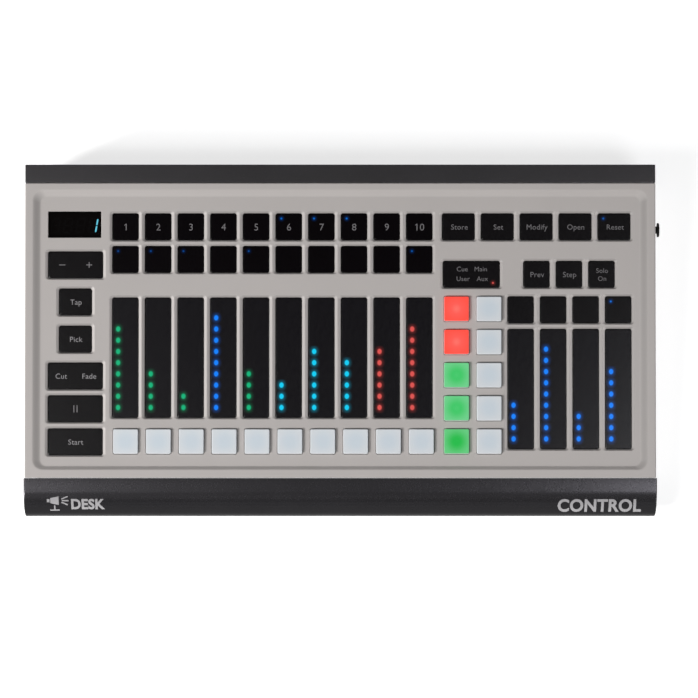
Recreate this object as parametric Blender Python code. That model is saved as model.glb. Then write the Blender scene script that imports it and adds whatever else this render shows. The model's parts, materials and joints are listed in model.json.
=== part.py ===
"""Lighting control desk: a wedge-shaped touch and key surface that stands on a table.

Every dimension is in millimetres and is turned into metres where a mesh is made.
X runs along the desk's width, +Y to its rear, +Z up. The origin is under its middle, on the table.

The keys sit on a sloping panel, so everything that belongs to the panel is drawn in the panel's
own frame: x across, y up the slope and z out of the face, with z = 0 on the floor of the recess
that the keys stand in. One empty, panel_frame, carries that frame.
"""

import math

import bmesh
import bpy
from mathutils import Vector

MM = 0.001

# Whole desk
WIDTH = 482.6  # a 19 inch desk
PANEL_LENGTH = 225.4  # along the slope, between the nose and the rear rail
RAIL_LENGTH = 14.2  # the rear rail's share of the slope
SLOPE_DEG = 7.0
PANEL_HEIGHT = 56.0  # of the panel frame's origin above the table
PANEL_BACK = 6.2  # of the panel frame's origin behind the desk's middle
FOOT_HEIGHT = 4.0
GAP = 0.3  # between pieces that touch
SEAM = 0.5  # between casings where they meet
OVERLAP = 0.8  # how far a joined-on shape sinks into its neighbour

# Casing
WALL = 2.5
PLATE = 3.0  # thickness of the key panel
RIM = 2.0  # the raised rim above the floor of the recess
SHEET = 1.8  # steel of the base tray
RECESS_X = (-229.9, 229.9)
RECESS_Y = (-103.0, 101.8)
RECESS_SLOPE_X = 6.2
RECESS_SLOPE_Y = 3.9
RECESS_CORNER = 9.0
TRAY_WALL_TOPS = (66.5, 26.0, 20.0)  # of the tray's rear wall, sides and front lip
FRONT_FOOT_Y = -88.0
REAR_FOOT_Y = 108.0

# Nose, in side view: a short facet, then a quarter ellipse of this reach and drop
NOSE_FACET = 8.4
NOSE_REACH = 20.9
NOSE_DROP = 23.5
NOSE_CHIN = 5.0  # how far the foot is tucked in behind the front

# Controls
PITCH = 25.0  # channel to channel, and row 1 to row 2
KEY_WIDTH = 19.4
KEY_HEIGHT = 20.0
COMMAND_WIDTH = 24.4
WIDE = 41.3  # of the wide keys at the left
MODE_WIDTH = 42.9
PAD_SIZE = 19.1
STRIP_HEIGHT = 91.5
CORNER = 1.4
CLEARANCE = 0.35  # round a key in its opening
BEVEL = 1.95  # width of the sloping edge at both sides of a key's pocket
BEVEL_FRONT = 0.8
BEVEL_REAR = 1.6
BEVEL_DROP = 1.2
KEY_TOP = -0.7
PAD_TOP = 2.2
KEY_TRAVEL = 1.0

# What holds and reads a key, as heights in the panel frame
FLANGE = 1.0  # how far the flange reaches under the panel
FLANGE_TOP = -PLATE - GAP
FLANGE_THICK = 1.2
PLUNGER_TIP = -6.3
PLUNGER = 5.0
DOME_TOP = PLUNGER_TIP - KEY_TRAVEL - GAP
BOARD_TOP = -9.3
BOARD = 1.6
ROCKER_DROP = 1.1  # a rocker's flange hangs this much lower, so that its ends can rise
ROCKER_PIVOT = -4.4
ROCKER_TIP = -6.5
ROCKER_ARM = 12.0  # from a rocker's middle to each of its plungers

# Where the groups of controls stand on the panel
CHANNELS = 10
CHANNEL_X = -164.3  # first channel
NUMBER_Y = 79.4
SELECT_Y = NUMBER_Y - PITCH
CHANNEL_STRIP_Y = -20.9
FLASH_X = -164.0  # first pad of the front row
FLASH_PITCH = 25.12
FLASH_Y = -84.9
GRID_X = (88.9, 113.9)
GRID_ROWS = 5
GRID_PITCH = 25.35
ENCODERS = 4
ENCODER_X = 138.2
ENCODER_PITCH = 24.9
ENCODER_KEY_Y = 15.8
ENCODER_STRIP_Y = -44.9
COMMANDS = ("store", "set", "modify", "open", "reset")
COMMAND_X = 90.6  # first of the five keys at the rear right
COMMAND_PITCH = 29.8
PLAYBACK = ("previous", "step", "solo")
PLAYBACK_X = 150.4  # first of the three keys in front of them
PLAYBACK_Y = 42.95
MODE_X = 100.5
LEFT_X = -202.5
LEFT_Y = {"page": 50.2, "tap": 21.8, "pick": -6.7, "cut_fade": -34.9, "pause": -60.0, "start": -85.3}
WINDOW = (-203.3, 81.1, 40.0, 19.2)  # x, y, width, height

# Thumb screw in the right side, in the panel frame
SCREW_Y = 77.9
SCREW_Z = -16.0
SHANK = 1.9  # radius
SCREW_NECK = 2.8  # radius
SCREW_RADIUS = 5.7
SCREW_HEAD = (2.3, 4.1)  # from the desk's side to the back and to the face of the head

# Sockets in the rear wall: x and height above the table of their middles
USB_X = 40.0
USB_HEIGHT = 17.6
USB_SIZE = (12.0, 11.0)
DMX_X = 92.0
DMX_HEIGHT = 30.0
DMX_BARREL = 11.8  # radius
DMX_PLATE = (26.0, 31.0)
LOCK_X = -200.0
LOCK_WIDTH = 7.0
LOCK_HEIGHTS = (23.5, 26.5)
VENTS = 9
VENT_X = -170.0  # first slot
VENT_PITCH = 9.0
VENT_WIDTH = 3.5
VENT_HEIGHTS = (18.0, 46.0)

# Boards. The main board lies over the tray, the other under the panel
MAIN_BOARD_TOP = 11.5  # above the table
MAIN_BOARD_X = (-90.0, 66.0)
MAIN_BOARD_DEPTH = 88.0
SWITCH_BOARD = (-230.0, 230.0, -104.0, 101.0)
HEADER_SIZE = (36.0, 6.0, 5.0)
HEADER_Y = 27.0  # of the header under the switch board
CHIPS = (  # x, y from the board's rear edge, width, depth, height
    (-40.0, -45.0, 22.0, 22.0, 2.2),
    (-5.0, -55.0, 14.0, 10.0, 1.6),
    (-70.0, -30.0, 10.0, 16.0, 1.6),
    (-62.0, -70.0, 12.0, 12.0, 8.0),
)

SLOPE = math.radians(SLOPE_DEG)
HALF_WIDTH = WIDTH / 2
HALF_PANEL = PANEL_LENGTH / 2
BOARD_BOTTOM = BOARD_TOP - BOARD
RAIL_END = HALF_PANEL + SEAM / 2 + RAIL_LENGTH
REAR_Y = PANEL_BACK + RAIL_END * math.cos(SLOPE) - RIM * math.sin(SLOPE)
TRAY_REAR_Y = REAR_Y - WALL - GAP  # outer face of the tray's rear wall
TRAY_FRONT_Y = PANEL_BACK - 106.6
MAIN_BOARD_REAR = TRAY_REAR_Y - SHEET - 1.2
MAIN_HEADER_Y = MAIN_BOARD_REAR - 81.0
NOSE_REAR = -HALF_PANEL - SEAM / 2


# ---------------------------------------------------------------- scene, materials

def clear_scene():
    for obj in list(bpy.data.objects):
        bpy.data.objects.remove(obj, do_unlink=True)


def material(name, colour, roughness, metallic=0.0):
    made = bpy.data.materials.new(name)
    made.use_nodes = True
    shader = made.node_tree.nodes["Principled BSDF"]
    shader.inputs["Base Color"].default_value = (*colour, 1.0)
    shader.inputs["Roughness"].default_value = roughness
    shader.inputs["Metallic"].default_value = metallic
    return made


def make_materials():
    return {
        "beige_paint": material("beige_paint", (0.45, 0.42, 0.40), 0.6),
        "dark_grey": material("dark_grey", (0.035, 0.033, 0.036), 0.5),
        "black_steel": material("black_steel", (0.02, 0.02, 0.02), 0.55, 0.5),
        "black_key": material("black_key", (0.01, 0.008, 0.01), 0.35),
        "black_silicone": material("black_silicone", (0.014, 0.013, 0.015), 0.45),
        "white_pad": material("white_pad", (0.60, 0.67, 0.72), 0.5),
        "red_pad": material("red_pad", (1.0, 0.10, 0.08), 0.5),
        "green_pad": material("green_pad", (0.05, 0.55, 0.14), 0.5),
        "smoked_window": material("smoked_window", (0.01, 0.008, 0.01), 0.1),
        "display_black": material("display_black", (0.02, 0.02, 0.02), 0.4),
        "board_green": material("board_green", (0.02, 0.12, 0.05), 0.5),
        "socket_black": material("socket_black", (0.02, 0.02, 0.02), 0.4),
        "plated_steel": material("plated_steel", (0.6, 0.6, 0.62), 0.3, 1.0),
        "ribbon_grey": material("ribbon_grey", (0.35, 0.35, 0.37), 0.6),
        "foot_rubber": material("foot_rubber", (0.02, 0.02, 0.02), 0.8),
    }


# ---------------------------------------------------------------- outlines and solids

def rounded_outline(x, y, width, height, radius, steps=1):
    """Points of a rectangle about x, y with round corners of the given number of chords."""
    points = []
    for corner, (sx, sy) in enumerate(((1, 1), (-1, 1), (-1, -1), (1, -1))):
        cx = x + sx * (width / 2 - radius)
        cy = y + sy * (height / 2 - radius)
        for step in range(steps + 1):
            angle = math.pi / 2 * (corner + step / steps)
            points.append((cx + radius * math.cos(angle), cy + radius * math.sin(angle)))
    return points


def box_outline(x0, x1, y0, y1):
    return [(x0, y0), (x1, y0), (x1, y1), (x0, y1)]


def round_outline(x, y, radius, sides):
    turn = 2 * math.pi / sides
    return [
        (x + radius * math.cos(turn * (i + 0.5)), y + radius * math.sin(turn * (i + 0.5)))
        for i in range(sides)
    ]


def add_stack(mesh, rings):
    """Adds one closed solid to a bmesh: a pile of (height, outline) rings with equal point counts."""
    loops = [[mesh.verts.new((x * MM, y * MM, z * MM)) for x, y in outline] for z, outline in rings]
    count = len(loops[0])
    for low, high in zip(loops, loops[1:]):
        for i in range(count):
            j = (i + 1) % count
            mesh.faces.new((low[i], low[j], high[j], high[i]))
    mesh.faces.new(loops[0])
    mesh.faces.new(loops[-1])


def add_prism(mesh, profile, x0, x1):
    """Adds one closed solid to a bmesh: a y, z profile drawn out along X."""
    loops = [[mesh.verts.new((x * MM, y * MM, z * MM)) for y, z in profile] for x in (x0, x1)]
    count = len(profile)
    for i in range(count):
        j = (i + 1) % count
        mesh.faces.new((loops[0][i], loops[0][j], loops[1][j], loops[1][i]))
    mesh.faces.new(loops[0])
    mesh.faces.new(loops[1])


def box_rings(x0, x1, y0, y1, z0, z1):
    outline = box_outline(x0, x1, y0, y1)
    return [(z0, outline), (z1, outline)]


def finished(name, mesh, look, parent):
    """Turns a bmesh into an object, with its faces pointing out and flat faces left flat."""
    bmesh.ops.recalc_face_normals(mesh, faces=mesh.faces)
    data = bpy.data.meshes.new(name)
    mesh.to_mesh(data)
    mesh.free()
    obj = bpy.data.objects.new(name, data)
    bpy.context.scene.collection.objects.link(obj)
    obj.parent = parent
    if look is not None:
        data.materials.append(look)
    return obj


def stacks(name, piles, look=None, parent=None):
    mesh = bmesh.new()
    for rings in piles:
        add_stack(mesh, rings)
    return finished(name, mesh, look, parent)


def prism(name, profile, x0, x1, look=None, parent=None):
    mesh = bmesh.new()
    add_prism(mesh, profile, x0, x1)
    return finished(name, mesh, look, parent)


def combine(obj, helper, operation):
    """Cuts a helper solid from obj, or joins it on. The helper stays in the scene as a hidden guide."""
    helper.hide_render = True
    helper.display_type = "WIRE"
    modifier = obj.modifiers.new(helper.name, "BOOLEAN")
    modifier.operation = operation
    modifier.solver = "EXACT"
    modifier.object = helper
    return obj


def cut(obj, helper):
    return combine(obj, helper, "DIFFERENCE")


def join(obj, helper):
    return combine(obj, helper, "UNION")


# ---------------------------------------------------------------- the slope

def height_at(y, z_world):
    """Height in the panel frame, at y up the slope, of a level plane above the table."""
    return (z_world - PANEL_HEIGHT - y * math.sin(SLOPE)) / math.cos(SLOPE)


def along_at(z, y_world):
    """Place up the slope, at height z in the panel frame, of an upright plane of the desk."""
    return (y_world - PANEL_BACK + z * math.sin(SLOPE)) / math.cos(SLOPE)


def to_panel(y_world, z_world):
    """A side-view point of the desk in the panel frame."""
    y = y_world - PANEL_BACK
    z = z_world - PANEL_HEIGHT
    return (
        y * math.cos(SLOPE) + z * math.sin(SLOPE),
        -y * math.sin(SLOPE) + z * math.cos(SLOPE),
    )


def make_panel_frame():
    frame = bpy.data.objects.new("panel_frame", None)
    bpy.context.scene.collection.objects.link(frame)
    frame.location = Vector((0, PANEL_BACK, PANEL_HEIGHT)) * MM
    frame.rotation_euler = (SLOPE, 0, 0)
    return frame


# ---------------------------------------------------------------- layout of the controls

def channel_x(index):
    return CHANNEL_X + PITCH * index


def encoder_x(index):
    return ENCODER_X + ENCODER_PITCH * index


def grid_y(row):
    return FLASH_Y + GRID_PITCH * (GRID_ROWS - row)


def push_keys():
    """name, x, y, width, height of every black key that is pushed straight down."""
    keys = [
        (f"number_key_{i + 1}", channel_x(i), NUMBER_Y, KEY_WIDTH, KEY_HEIGHT)
        for i in range(CHANNELS)
    ]
    for i, name in enumerate(COMMANDS):
        keys.append((f"{name}_key", COMMAND_X + COMMAND_PITCH * i, NUMBER_Y, COMMAND_WIDTH, KEY_HEIGHT))
    for i, name in enumerate(PLAYBACK):
        keys.append((f"{name}_key", PLAYBACK_X + ENCODER_PITCH * i, PLAYBACK_Y, KEY_WIDTH, KEY_HEIGHT))
    keys.append(("mode_key", MODE_X, PLAYBACK_Y, MODE_WIDTH, KEY_HEIGHT))
    for name, width in (("tap", COMMAND_WIDTH), ("pick", COMMAND_WIDTH), ("pause", WIDE), ("start", WIDE)):
        keys.append((f"{name}_key", LEFT_X, LEFT_Y[name], width, KEY_HEIGHT))
    return keys


def rocker_keys():
    """The two wide keys with a function at each end."""
    return [(f"{name}_rocker", LEFT_X, LEFT_Y[name], WIDE, KEY_HEIGHT) for name in ("page", "cut_fade")]


def pads():
    """name, x, y, material of every raised translucent pad."""
    row_x = [FLASH_X + FLASH_PITCH * i for i in range(CHANNELS)]
    found = [(f"flash_pad_{i + 1}", x, FLASH_Y, "white_pad") for i, x in enumerate(row_x)]
    for row in range(1, GRID_ROWS + 1):
        lit = "red_pad" if row <= 2 else "green_pad"
        found.append((f"grid_pad_a{row}", GRID_X[0], grid_y(row), lit))
        found.append((f"grid_pad_b{row}", GRID_X[1], grid_y(row), "white_pad"))
    return found


def touch_areas():
    """x, y, width, height of the strips and blank keys, which are touched and don't travel."""
    found = []
    for i in range(CHANNELS):
        found.append((channel_x(i), SELECT_Y, KEY_WIDTH, KEY_HEIGHT))
        found.append((channel_x(i), CHANNEL_STRIP_Y, KEY_WIDTH, STRIP_HEIGHT))
    for i in range(ENCODERS):
        found.append((encoder_x(i), ENCODER_KEY_Y, KEY_WIDTH, KEY_HEIGHT))
        found.append((encoder_x(i), ENCODER_STRIP_Y, KEY_WIDTH, STRIP_HEIGHT))
    return found


# ---------------------------------------------------------------- casing

def pocket_rings(x, y, width, height):
    """A cutter for a key's opening, with the sloping edges that lead down to it."""
    past = 0.05
    grow = (BEVEL_DROP + past) / BEVEL_DROP
    opening = (width + 2 * CLEARANCE, height + 2 * CLEARANCE)
    front = BEVEL_FRONT * grow
    rear = BEVEL_REAR * grow
    straight = rounded_outline(x, y, *opening, CORNER)
    brim = rounded_outline(
        x,
        y + (rear - front) / 2,
        opening[0] + 2 * BEVEL * grow,
        opening[1] + front + rear,
        CORNER + BEVEL_FRONT,
    )
    return [(-PLATE - 1.0, straight), (-BEVEL_DROP, straight), (past, brim)]


def opening_rings(x, y, width, height, radius):
    outline = rounded_outline(x, y, width + 2 * CLEARANCE, height + 2 * CLEARANCE, radius)
    return [(-PLATE - 1.0, outline), (1.0, outline)]


def recess_rings():
    """A cutter for the shallow recess, with sloping sides that rise to the rim."""
    past = 1.0
    grow = (RIM + past) / RIM
    width = RECESS_X[1] - RECESS_X[0]
    height = RECESS_Y[1] - RECESS_Y[0]
    x = sum(RECESS_X) / 2
    y = sum(RECESS_Y) / 2
    low = rounded_outline(x, y, width, height, RECESS_CORNER, 4)
    high = rounded_outline(
        x,
        y,
        width + 2 * RECESS_SLOPE_X * grow,
        height + 2 * RECESS_SLOPE_Y * grow,
        RECESS_CORNER + RECESS_SLOPE_Y,
        4,
    )
    return [(0.0, low), (RIM + past, high)]


def make_top_cover(look, frame):
    """The painted panel with its raised rim, folded down at both sides."""
    bottom = FOOT_HEIGHT + SHEET + SEAM
    ends = (-HALF_PANEL, HALF_PANEL)
    outer = [
        (ends[0], RIM),
        (ends[0], height_at(ends[0], bottom)),
        (ends[1], height_at(ends[1], bottom)),
        (ends[1], RIM),
    ]
    cover = prism("top_cover", outer, -HALF_WIDTH, HALF_WIDTH, look, frame)
    inside = HALF_WIDTH - WALL
    hollow = box_outline(-HALF_PANEL - 10, HALF_PANEL + 10, -80.0, -PLATE)
    cut(cover, prism("cover_hollow", hollow, -inside, inside, parent=frame))
    bosses = [
        [(BOARD_TOP + GAP, outline), (-PLATE + 1.0, outline)]
        for outline in (
            round_outline(x, y, 2.6, 6) for x in (-222.0, 77.0, 222.0) for y in (-99.6, 96.6)
        )
    ]
    join(cover, stacks("cover_bosses", bosses, parent=frame))
    cut(cover, stacks("recess", [recess_rings()], parent=frame))
    pockets = [pocket_rings(*key[1:]) for key in push_keys() + rocker_keys()]
    pockets += [pocket_rings(*area) for area in touch_areas()]
    pockets += [opening_rings(x, y, PAD_SIZE, PAD_SIZE, CORNER) for _, x, y, _ in pads()]
    pockets.append(opening_rings(*WINDOW, 0.4))
    cut(cover, stacks("key_pockets", pockets, parent=frame))
    hole = [(inside - 2, SHANK + GAP), (HALF_WIDTH + 2, SHANK + GAP)]
    return cut(cover, place(turned("screw_hole", hole, parent=frame), 0, SCREW_Y, SCREW_Z))


def nose_profile(inset):
    """The nose in side view, in the panel frame: a short facet, a quarter ellipse and a tucked-in foot."""
    facet = NOSE_REAR - NOSE_FACET
    reach = NOSE_REACH - inset
    drop = NOSE_DROP - inset
    level = RIM - 0.5
    centre = level - NOSE_DROP
    points = [(NOSE_REAR, RIM - inset), (facet, level - inset)]
    for step in range(1, 9):
        angle = math.pi / 2 * step / 8
        points.append((facet - reach * math.sin(angle), centre + drop * math.cos(angle)))
    floor = FOOT_HEIGHT + SEAM + inset
    front = points[-1][0]
    chin = front + NOSE_CHIN
    points.append((front + 1.0, centre - 7.0 + inset / 2))
    points.append((chin, height_at(chin, floor)))
    points.append((NOSE_REAR, height_at(NOSE_REAR, floor)))
    return points


def make_front_nose(look, frame):
    """The dark palm rest: a shell with closed ends, open towards the casing."""
    half = HALF_WIDTH + 0.7
    nose = prism("front_nose", nose_profile(0.0), -half, half, look, frame)
    inner = nose_profile(WALL)
    for end in (0, -1):
        inner[end] = (inner[end][0] + 5.0, inner[end][1])
    return cut(nose, prism("nose_hollow", inner, -half + WALL, half - WALL, parent=frame))


def make_rear_rail(look, frame):
    """The dark rail along the rear edge, with a short drop behind and an end cheek at each side."""
    front = HALF_PANEL + SEAM / 2
    bottom = FOOT_HEIGHT + SHEET + SEAM
    drop = 16.0
    floor_front = height_at(front, bottom)
    outer = [
        (front, RIM),
        (front, floor_front),
        to_panel(REAR_Y, bottom),
        (along_at(RIM, REAR_Y), RIM),
    ]
    rail = prism("rear_rail", outer, -HALF_WIDTH, HALF_WIDTH, look, frame)
    ceiling = RIM - PLATE
    back = along_at(ceiling, REAR_Y - WALL)
    edge = to_panel(REAR_Y - WALL, PANEL_HEIGHT + RAIL_END * math.sin(SLOPE) - drop)
    hollow = [
        (front - 5.0, ceiling),
        (front - 5.0, floor_front - 5.0),
        to_panel(REAR_Y + 5.0, bottom - 5.0),
        (edge[0] + 10.0, edge[1] - 10.0 * math.tan(SLOPE)),
        edge,
        (back, ceiling),
    ]
    inside = HALF_WIDTH - WALL
    return cut(rail, prism("rail_hollow", hollow, -inside, inside, parent=frame))


def make_base_tray(look):
    """Folded steel: the floor, low side flanges, a front lip and the rear wall with its sockets."""
    low = FOOT_HEIGHT
    top = FOOT_HEIGHT + SHEET
    inside = HALF_WIDTH - WALL - SEAM
    front = TRAY_FRONT_Y
    rear = TRAY_REAR_Y
    wall_top, side_top, lip_top = TRAY_WALL_TOPS
    outside = HALF_WIDTH - 0.4
    plate = box_rings(-outside, outside, front, rear - 8.0, low, top)
    floor = stacks("base_tray", [plate], look)
    tongue = box_rings(-inside, inside, rear - 9.0, rear, low, top)
    join(floor, stacks("tray_tongue", [tongue]))
    walls = [
        box_rings(-inside, inside, rear - SHEET, rear, top - OVERLAP, wall_top),
        box_rings(-inside, -inside + SHEET, front, rear - SHEET / 2, top - OVERLAP, side_top),
        box_rings(inside - SHEET, inside, front, rear - SHEET / 2, top - OVERLAP, side_top),
        box_rings(-inside + SHEET / 2, inside - SHEET / 2, front, front + SHEET, top - OVERLAP, lip_top),
    ]
    for number, wall in enumerate(walls):
        join(floor, stacks(f"tray_wall_{number}", [wall]))
    usb_x, usb_z = USB_SIZE
    cuts = [
        box_rings(
            USB_X - usb_x / 2 - GAP,
            USB_X + usb_x / 2 + GAP,
            rear - SHEET - 2,
            rear + 2,
            USB_HEIGHT - usb_z / 2 - GAP,
            USB_HEIGHT + usb_z / 2 + GAP,
        ),
    ]
    slots = [(LOCK_X, LOCK_WIDTH, LOCK_HEIGHTS)]
    slots += [(VENT_X + VENT_PITCH * i, VENT_WIDTH, VENT_HEIGHTS) for i in range(VENTS)]
    for x, width, heights in slots:
        cuts.append(box_rings(x - width / 2, x + width / 2, rear - SHEET - 2, rear + 2, *heights))
    cut(floor, stacks("rear_cutouts", cuts))
    bore = round_outline(DMX_X, DMX_HEIGHT, DMX_BARREL + GAP, 16)
    return cut(floor, upright("dmx_cutout", bore, rear - SHEET - 2, rear + 2))


def upright(name, outline, y0, y1, look=None):
    """A solid drawn out along Y from an x, z outline."""
    mesh = bmesh.new()
    add_upright(mesh, outline, y0, y1)
    return finished(name, mesh, look, None)


def add_upright(mesh, outline, y0, y1):
    loops = [[mesh.verts.new((x * MM, y * MM, z * MM)) for x, z in outline] for y in (y0, y1)]
    count = len(outline)
    for i in range(count):
        j = (i + 1) % count
        mesh.faces.new((loops[0][i], loops[0][j], loops[1][j], loops[1][i]))
    mesh.faces.new(loops[0])
    mesh.faces.new(loops[1])


def make_foot_strips(look):
    """Two rubber strips that the desk stands on."""
    for name, y in (("front_foot_strip", FRONT_FOOT_Y), ("rear_foot_strip", REAR_FOOT_Y)):
        rings = [
            (0.0, rounded_outline(0, y, 417.0, 9.0, 3.0, 2)),
            (FOOT_HEIGHT - GAP, rounded_outline(0, y, 420.0, 12.0, 4.5, 2)),
        ]
        stacks(name, [rings], look)


# ---------------------------------------------------------------- keys, pads and the touch mat

def cap_rings(width, height, top, flange_top, tip=None):
    """A key from its face down: cap, retaining flange and, if it has one, the plunger under it."""
    cap = rounded_outline(0, 0, width, height, CORNER)
    flange = rounded_outline(0, 0, width + 2 * FLANGE, height + 2 * FLANGE, CORNER + FLANGE)
    flange_bottom = flange_top - FLANGE_THICK
    rings = [(top, cap), (flange_top, cap), (flange_top, flange), (flange_bottom, flange)]
    if tip is not None:
        plunger = rounded_outline(0, 0, PLUNGER, PLUNGER, 1.2)
        rings += [(flange_bottom, plunger), (tip, plunger)]
    return rings


def place(obj, x, y, z=0.0):
    obj.location = Vector((x, y, z)) * MM
    return obj


def make_push_keys(looks, frame):
    for name, x, y, width, height in push_keys():
        rings = cap_rings(width, height, KEY_TOP, FLANGE_TOP, PLUNGER_TIP)
        place(stacks(name, [rings], looks["black_key"], frame), x, y)
    for name, x, y, look in pads():
        rings = cap_rings(PAD_SIZE, PAD_SIZE, PAD_TOP, FLANGE_TOP, PLUNGER_TIP)
        place(stacks(name, [rings], looks[look], frame), x, y)


def make_rockers(look, frame):
    """Each rocker turns on a post in its middle, about its own origin, and has a plunger under each end."""
    for name, x, y, width, height in rocker_keys():
        flange_top = FLANGE_TOP - ROCKER_DROP
        rings = lowered(cap_rings(width, height, KEY_TOP, flange_top), ROCKER_PIVOT)
        key = place(stacks(name, [rings], look, frame), x, y, ROCKER_PIVOT)
        under = flange_top - FLANGE_THICK
        posts = [
            lowered([(under + OVERLAP, outline), (tip, outline)], ROCKER_PIVOT)
            for outline, tip in (
                (rounded_outline(-ROCKER_ARM, 0, PLUNGER, PLUNGER, 1.2), ROCKER_TIP),
                (rounded_outline(ROCKER_ARM, 0, PLUNGER, PLUNGER, 1.2), ROCKER_TIP),
                (rounded_outline(0, 0, 2.0, 12.0, 0.6), BOARD_TOP + GAP),
            )
        ]
        join(key, place(stacks(f"{name}_posts", posts, parent=frame), x, y, ROCKER_PIVOT))


def lowered(rings, drop):
    """The same rings with their heights counted from a new level."""
    return [(height - drop, outline) for height, outline in rings]


def make_touch_mat(look, frame):
    """One silicone moulding: a thin web on the board, with the strips and blank keys standing on it."""
    margin = 1.2
    web_low = BOARD_TOP + GAP
    web_high = web_low + 1.0
    left = channel_x(0) - KEY_WIDTH / 2 - margin
    middle = channel_x(CHANNELS - 1) + KEY_WIDTH / 2 + margin
    start = encoder_x(0) - KEY_WIDTH / 2 - margin
    right = encoder_x(ENCODERS - 1) + KEY_WIDTH / 2 + margin
    top = SELECT_Y + KEY_HEIGHT / 2 + margin
    bottom = CHANNEL_STRIP_Y - STRIP_HEIGHT / 2 - margin
    low = ENCODER_STRIP_Y - STRIP_HEIGHT / 2 - margin
    bridge = (24.0, 34.0)
    web = [
        (left, bottom),
        (middle, bottom),
        (middle, bridge[0]),
        (start, bridge[0]),
        (start, low),
        (right, low),
        (right, bridge[1]),
        (middle, bridge[1]),
        (middle, top),
        (left, top),
    ]
    mat = stacks("touch_mat", [[(web_low, web), (web_high, web)]], look, frame)
    islands = [
        [(web_low + 0.5, outline), (KEY_TOP, outline)]
        for outline in (rounded_outline(*area, CORNER) for area in touch_areas())
    ]
    return join(mat, stacks("touch_islands", islands, parent=frame))


# ---------------------------------------------------------------- boards and display

def dome_places():
    found = [(x, y) for _, x, y, _, _ in push_keys()]
    found += [(x, y) for _, x, y, _ in pads()]
    for _, x, y, _, _ in rocker_keys():
        found += [(x - ROCKER_ARM, y), (x + ROCKER_ARM, y)]
    return found


def make_switch_board(look, frame):
    """The board under the panel, with one dome switch under each plunger and a header below."""
    outline = box_outline(*SWITCH_BOARD)
    board = stacks("switch_board", [[(BOARD_BOTTOM, outline), (BOARD_TOP, outline)]], look, frame)
    domes = [
        [
            (BOARD_TOP - 0.5, round_outline(x, y, 3.0, 6)),
            (BOARD_TOP + 0.5, round_outline(x, y, 3.0, 6)),
            (DOME_TOP, round_outline(x, y, 1.8, 6)),
        ]
        for x, y in dome_places()
    ]
    join(board, stacks("dome_switches", domes, parent=frame))
    half_x, half_y = HEADER_SIZE[0] / 2, HEADER_SIZE[1] / 2
    low, high = BOARD_BOTTOM - HEADER_SIZE[2], BOARD_BOTTOM + OVERLAP
    header = box_rings(-half_x, half_x, HEADER_Y - half_y, HEADER_Y + half_y, low, high)
    return join(board, stacks("board_header", [header], parent=frame))


def make_display(looks, frame):
    """The smoked window in the panel, and the four-digit module behind it."""
    x, y, width, height = WINDOW
    face = rounded_outline(0, 0, width, height, 0.3)
    lip = rounded_outline(0, 0, width + 3.0, height + 3.0, 0.8)
    window = [(-1.1, face), (FLANGE_TOP, face), (FLANGE_TOP, lip), (FLANGE_TOP - 1.0, lip)]
    place(stacks("display_window", [window], looks["smoked_window"], frame), x, y)
    body = rounded_outline(0, 0, width - 1.0, height - 1.5, 0.5)
    module = [(BOARD_TOP + GAP, body), (FLANGE_TOP - 1.0 - GAP, body)]
    place(stacks("display_module", [module], looks["display_black"], frame), x, y)


def make_main_board(look):
    """The processor board on the tray's floor, with its legs, chips and header."""
    rear = MAIN_BOARD_REAR
    left, right = MAIN_BOARD_X
    front = rear - MAIN_BOARD_DEPTH
    sheet = box_rings(left, right, front, rear, MAIN_BOARD_TOP - BOARD, MAIN_BOARD_TOP)
    board = stacks("main_board", [sheet], look)
    root = MAIN_BOARD_TOP - OVERLAP
    tray_top = FOOT_HEIGHT + SHEET
    details = []
    for x in (left + 5.0, right - 5.0):
        for y in (front + 6.0, rear - 6.0):
            leg = round_outline(x, y, 3.0, 6)
            details.append([(tray_top + GAP, leg), (root, leg)])
    for x, y, width, height, thick in CHIPS:
        outline = rounded_outline(x, rear + y, width, height, 0.5)
        details.append([(root, outline), (MAIN_BOARD_TOP + thick, outline)])
    half_x, half_y = HEADER_SIZE[0] / 2, HEADER_SIZE[1] / 2
    near, far = MAIN_HEADER_Y - half_y, MAIN_HEADER_Y + half_y
    details.append(box_rings(-half_x, half_x, near, far, root, MAIN_BOARD_TOP + HEADER_SIZE[2]))
    return join(board, stacks("main_board_details", details))


def ribbon_line():
    """The ribbon in side view: up out of the main board's header, back in a bow and up to the panel's."""
    start = Vector((MAIN_HEADER_Y, MAIN_BOARD_TOP + HEADER_SIZE[2] + GAP))
    tip = BOARD_BOTTOM - HEADER_SIZE[2] - GAP
    end = Vector(
        (
            PANEL_BACK + HEADER_Y * math.cos(SLOPE) - tip * math.sin(SLOPE),
            PANEL_HEIGHT + HEADER_Y * math.sin(SLOPE) + tip * math.cos(SLOPE),
        )
    )
    bow = Vector((0, 11.0))
    points = []
    steps = 12
    for step in range(steps + 1):
        t = step / steps
        a = start
        b = start + bow + Vector((-9.0, 0))
        c = end - bow + Vector((16.0, 0))
        d = end
        points.append(
            a * (1 - t) ** 3 + b * 3 * t * (1 - t) ** 2 + c * 3 * t * t * (1 - t) + d * t**3
        )
    return points


def make_ribbon_cable(look):
    """A flat cable of constant thickness between the two boards."""
    line = ribbon_line()
    half = 0.5
    left, right = [], []
    for i, point in enumerate(line):
        along = (line[min(i + 1, len(line) - 1)] - line[max(i - 1, 0)]).normalized()
        side = Vector((-along.y, along.x)) * half
        if i in (0, len(line) - 1):
            side = Vector((-half, 0))
        left.append(point + side)
        right.append(point - side)
    return prism("ribbon_cable", [tuple(p) for p in left + right[::-1]], -15.0, 15.0, look)


# ---------------------------------------------------------------- sockets and side screw

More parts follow.
